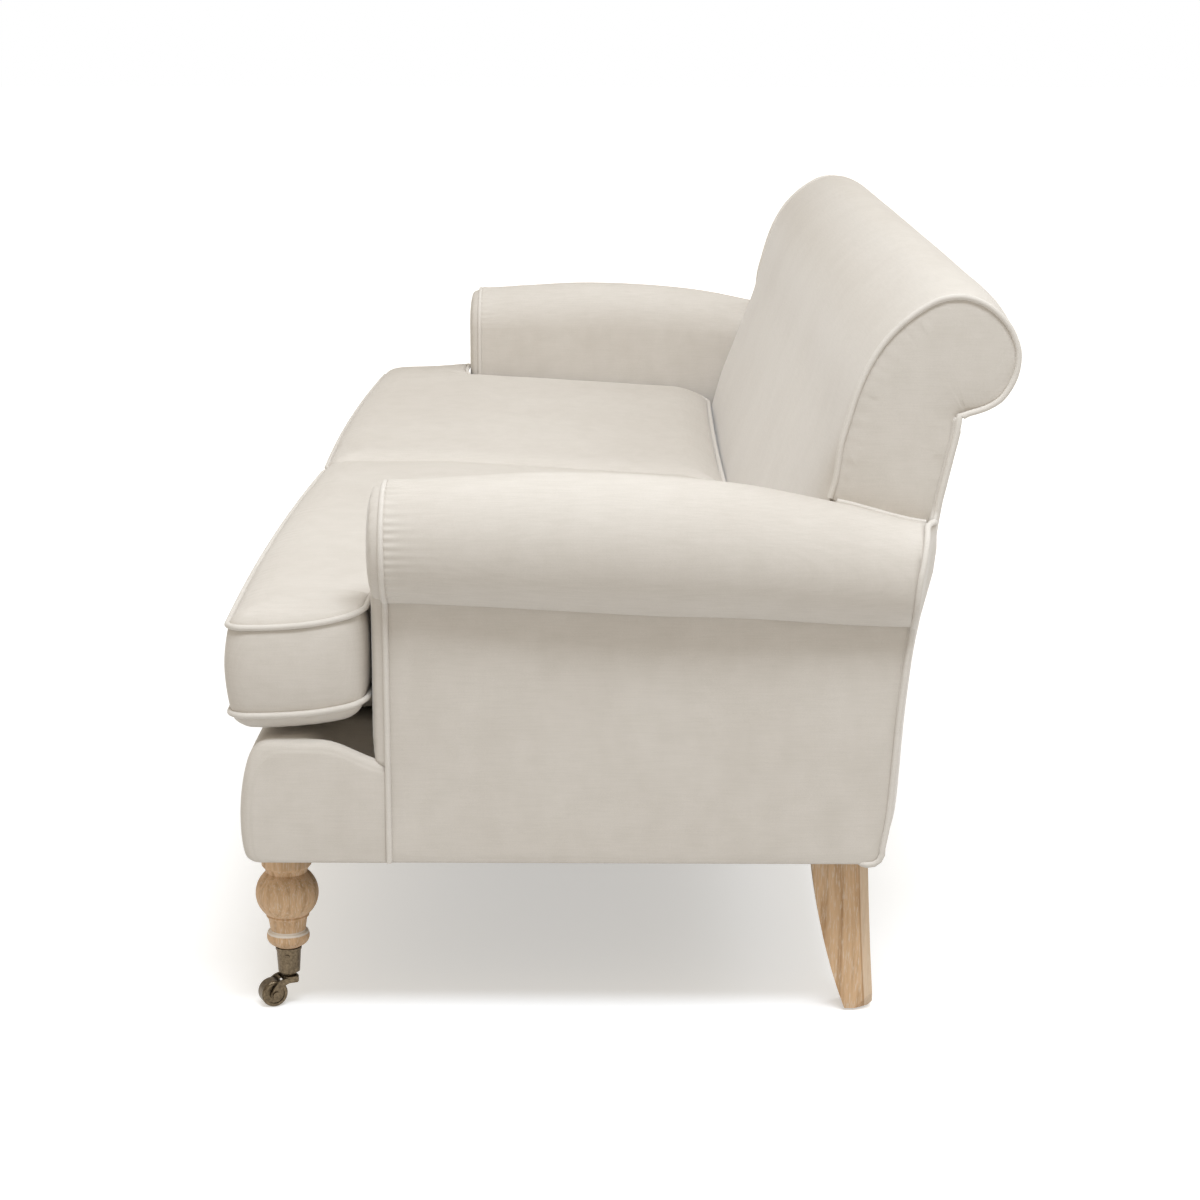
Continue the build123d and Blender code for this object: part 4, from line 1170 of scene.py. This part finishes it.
def makeDustCover():
    d = dustCover
    low, high = [Vector(p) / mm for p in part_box("dust_cover")]
    x, y = d["rearLeg"]
    notch = [(x + d["notch"], high.y), (x + d["notch"], y), (x - d["notch"], y), (x - d["notch"], high.y)]
    half = [(high.x, low.y), (high.x, high.y)] + notch
    loops = [half + [(-a, b) for a, b in reversed(half)]]
    x, y = d["frontLeg"]
    turns = [k * math.pi / 12 for k in range(24)]
    hole = [(d["frontHole"] * math.cos(a), d["frontHole"] * math.sin(a)) for a in turns]
    for side in (-1, 1):
        loops.append([(side * x + a, y + b) for a, b in hole])
    bm = bmesh.new()
    edges = []
    for loop in loops:
        edges += ringOf(bm, [at(x, y, high.z) for x, y in loop])
    bmesh.ops.triangle_fill(bm, use_beauty=True, use_dissolve=False, edges=edges)
    gridCut(bm, 0, d["grid"])
    gridCut(bm, 1, d["grid"])
    bmesh.ops.recalc_face_normals(bm, faces=bm.faces)
    flatArea = sum(f.calc_area() for f in bm.faces)
    for v in bm.verts:
        x, y = v.co.x / mm, v.co.y / mm
        away = min(x - low.x, high.x - x, y - low.y, high.y - y)
        sag = d["sag"] * (1 - math.exp(-away / d["sagReach"]))
        v.co.z -= (sag + d["ripple"] * (1 + noise.noise(v.co * d["rippleScale"]))) * mm
    made = bmesh.ops.extrude_face_region(bm, geom=bm.faces[:], use_keep_orig=True)
    lower = [v for v in made["geom"] if isinstance(v, bmesh.types.BMVert)]
    bmesh.ops.translate(bm, vec=at(0, 0, -d["thick"]), verts=lower)
    cover = addPiece("dustCover", bm, material=dustCloth)
    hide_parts("dust_cover")


makeDustCover()
print("dust cover made")


# floor, light and camera, in metres

studio = {
    "floorHalf": 30.0, "floorColour": 0.72,
    # the floor shows a glow of its own to the camera, weaker near the sofa: reach and strength
    "glowReach": (1.5, 3.0), "floorGlow": (0.49, 0.84), "glowColour": (1.0, 0.98, 0.945),
    "world": 0.60, "worldColour": (1.0, 0.918, 0.80), "lampColour": (0.835, 0.905, 1.0),
    # place, aim, size and power of each lamp
    "lamps": {
        "keyLamp": ((1.0, 0.12, 2.9), (-0.75, -0.05, 0.5), (1.6, 1.4), 19.0),
        "sideLamp": ((3.9, 0.6, 6.9), (0.75, 0.0, 0.5), (3.6, 1.7), 370.0),
        "rearLamp": ((-1.6, 3.3, 3.6), (0.0, 0.3, 0.6), (2.6, 1.6), 48.0),
    },
}


def makeFloor():
    bm = bmesh.new()
    bmesh.ops.create_grid(bm, x_segments=2, y_segments=2, size=studio["floorHalf"])
    mesh = bpy.data.meshes.new("floor")
    bm.to_mesh(mesh)
    bm.free()
    floor = bpy.data.objects.new("floor", mesh)
    bpy.context.scene.collection.objects.link(floor)
    material = bpy.data.materials.new("paleFloor")
    material.use_nodes = True
    tree = material.node_tree
    tree.nodes.clear()
    ray = newNode(tree, "LightPath", {}).outputs
    seen = mathNode(tree, "MAXIMUM", ray["Is Camera Ray"], ray["Is Glossy Ray"])
    seen = mathNode(tree, "MAXIMUM", seen, ray["Is Transmission Ray"])
    away = newNode(tree, "VectorMath", {0: newNode(tree, "TexCoord", {}).outputs["Object"]})
    away.operation = "LENGTH"
    glow = rangeNode(tree, away.outputs["Value"], *studio["glowReach"], *studio["floorGlow"])
    strength = mathNode(tree, "MULTIPLY", seen, glow)
    light = newNode(tree, "Emission", {"Color": (*studio["glowColour"], 1), "Strength": strength})
    diffuse = newNode(tree, "BsdfDiffuse", {"Color": (studio["floorColour"],) * 3 + (1,)})
    both = newNode(tree, "AddShader", {0: diffuse.outputs["BSDF"], 1: light.outputs["Emission"]})
    newNode(tree, "OutputMaterial", {"Surface": both.outputs["Shader"]})
    mesh.materials.append(material)


def makeWorld():
    # dim and warm as light, plain white to the camera
    world = bpy.data.worlds.new("studio")
    bpy.context.scene.world = world
    world.use_nodes = True
    sky = world.node_tree
    sky.nodes.clear()
    ray = newNode(sky, "LightPath", {}).outputs
    seen = mathNode(sky, "MAXIMUM", ray["Is Camera Ray"], ray["Is Transmission Ray"])
    light = newNode(sky, "Background", {"Color": (*studio["worldColour"], 1), "Strength": studio["world"]})
    plain = newNode(sky, "Background", {"Color": (*white, 1)})
    sides = {1: light.outputs["Background"], 2: plain.outputs["Background"]}
    mix = newNode(sky, "MixShader", {"Fac": seen, **sides})
    newNode(sky, "OutputWorld", {"Surface": mix.outputs["Shader"]})


def areaLamp(name, place, aim, size, power):
    data = bpy.data.lights.new(name, "AREA")
    data.shape = "RECTANGLE"
    data.size, data.size_y = size
    data.energy = power
    data.color = studio["lampColour"]
    lamp = bpy.data.objects.new(name, data)
    bpy.context.scene.collection.objects.link(lamp)
    lamp.location = place
    lamp.rotation_euler = (Vector(aim) - Vector(place)).to_track_quat("-Z", "Y").to_euler()


makeFloor()
makeWorld()
for name, row in studio["lamps"].items():
    areaLamp(name, *row)

view = {"place": (4.0433, 0.0131, 1.1882), "yaw": -0.622, "pitch": 12.692, "lens": 81.39, "sensor": 36.0}


def makeCamera():
    yaw, pitch = math.radians(view["yaw"]), math.radians(view["pitch"])
    ahead = Vector((-math.cos(yaw), math.sin(yaw), 0))
    right = Vector((math.sin(yaw), math.cos(yaw), 0))
    looking = ahead * math.cos(pitch) - Vector((0, 0, math.sin(pitch)))
    up = Vector((0, 0, math.cos(pitch))) + ahead * math.sin(pitch)
    data = bpy.data.cameras.new("camera")
    data.lens = view["lens"]
    data.sensor_width = view["sensor"]
    camera = bpy.data.objects.new("camera", data)
    bpy.context.scene.collection.objects.link(camera)
    turn = Matrix((right, up, -looking)).transposed().to_4x4()
    camera.matrix_world = Matrix.Translation(view["place"]) @ turn
    bpy.context.scene.camera = camera


makeCamera()
bpy.context.scene.view_settings.view_transform = "Standard"
print("stage, light and camera made")
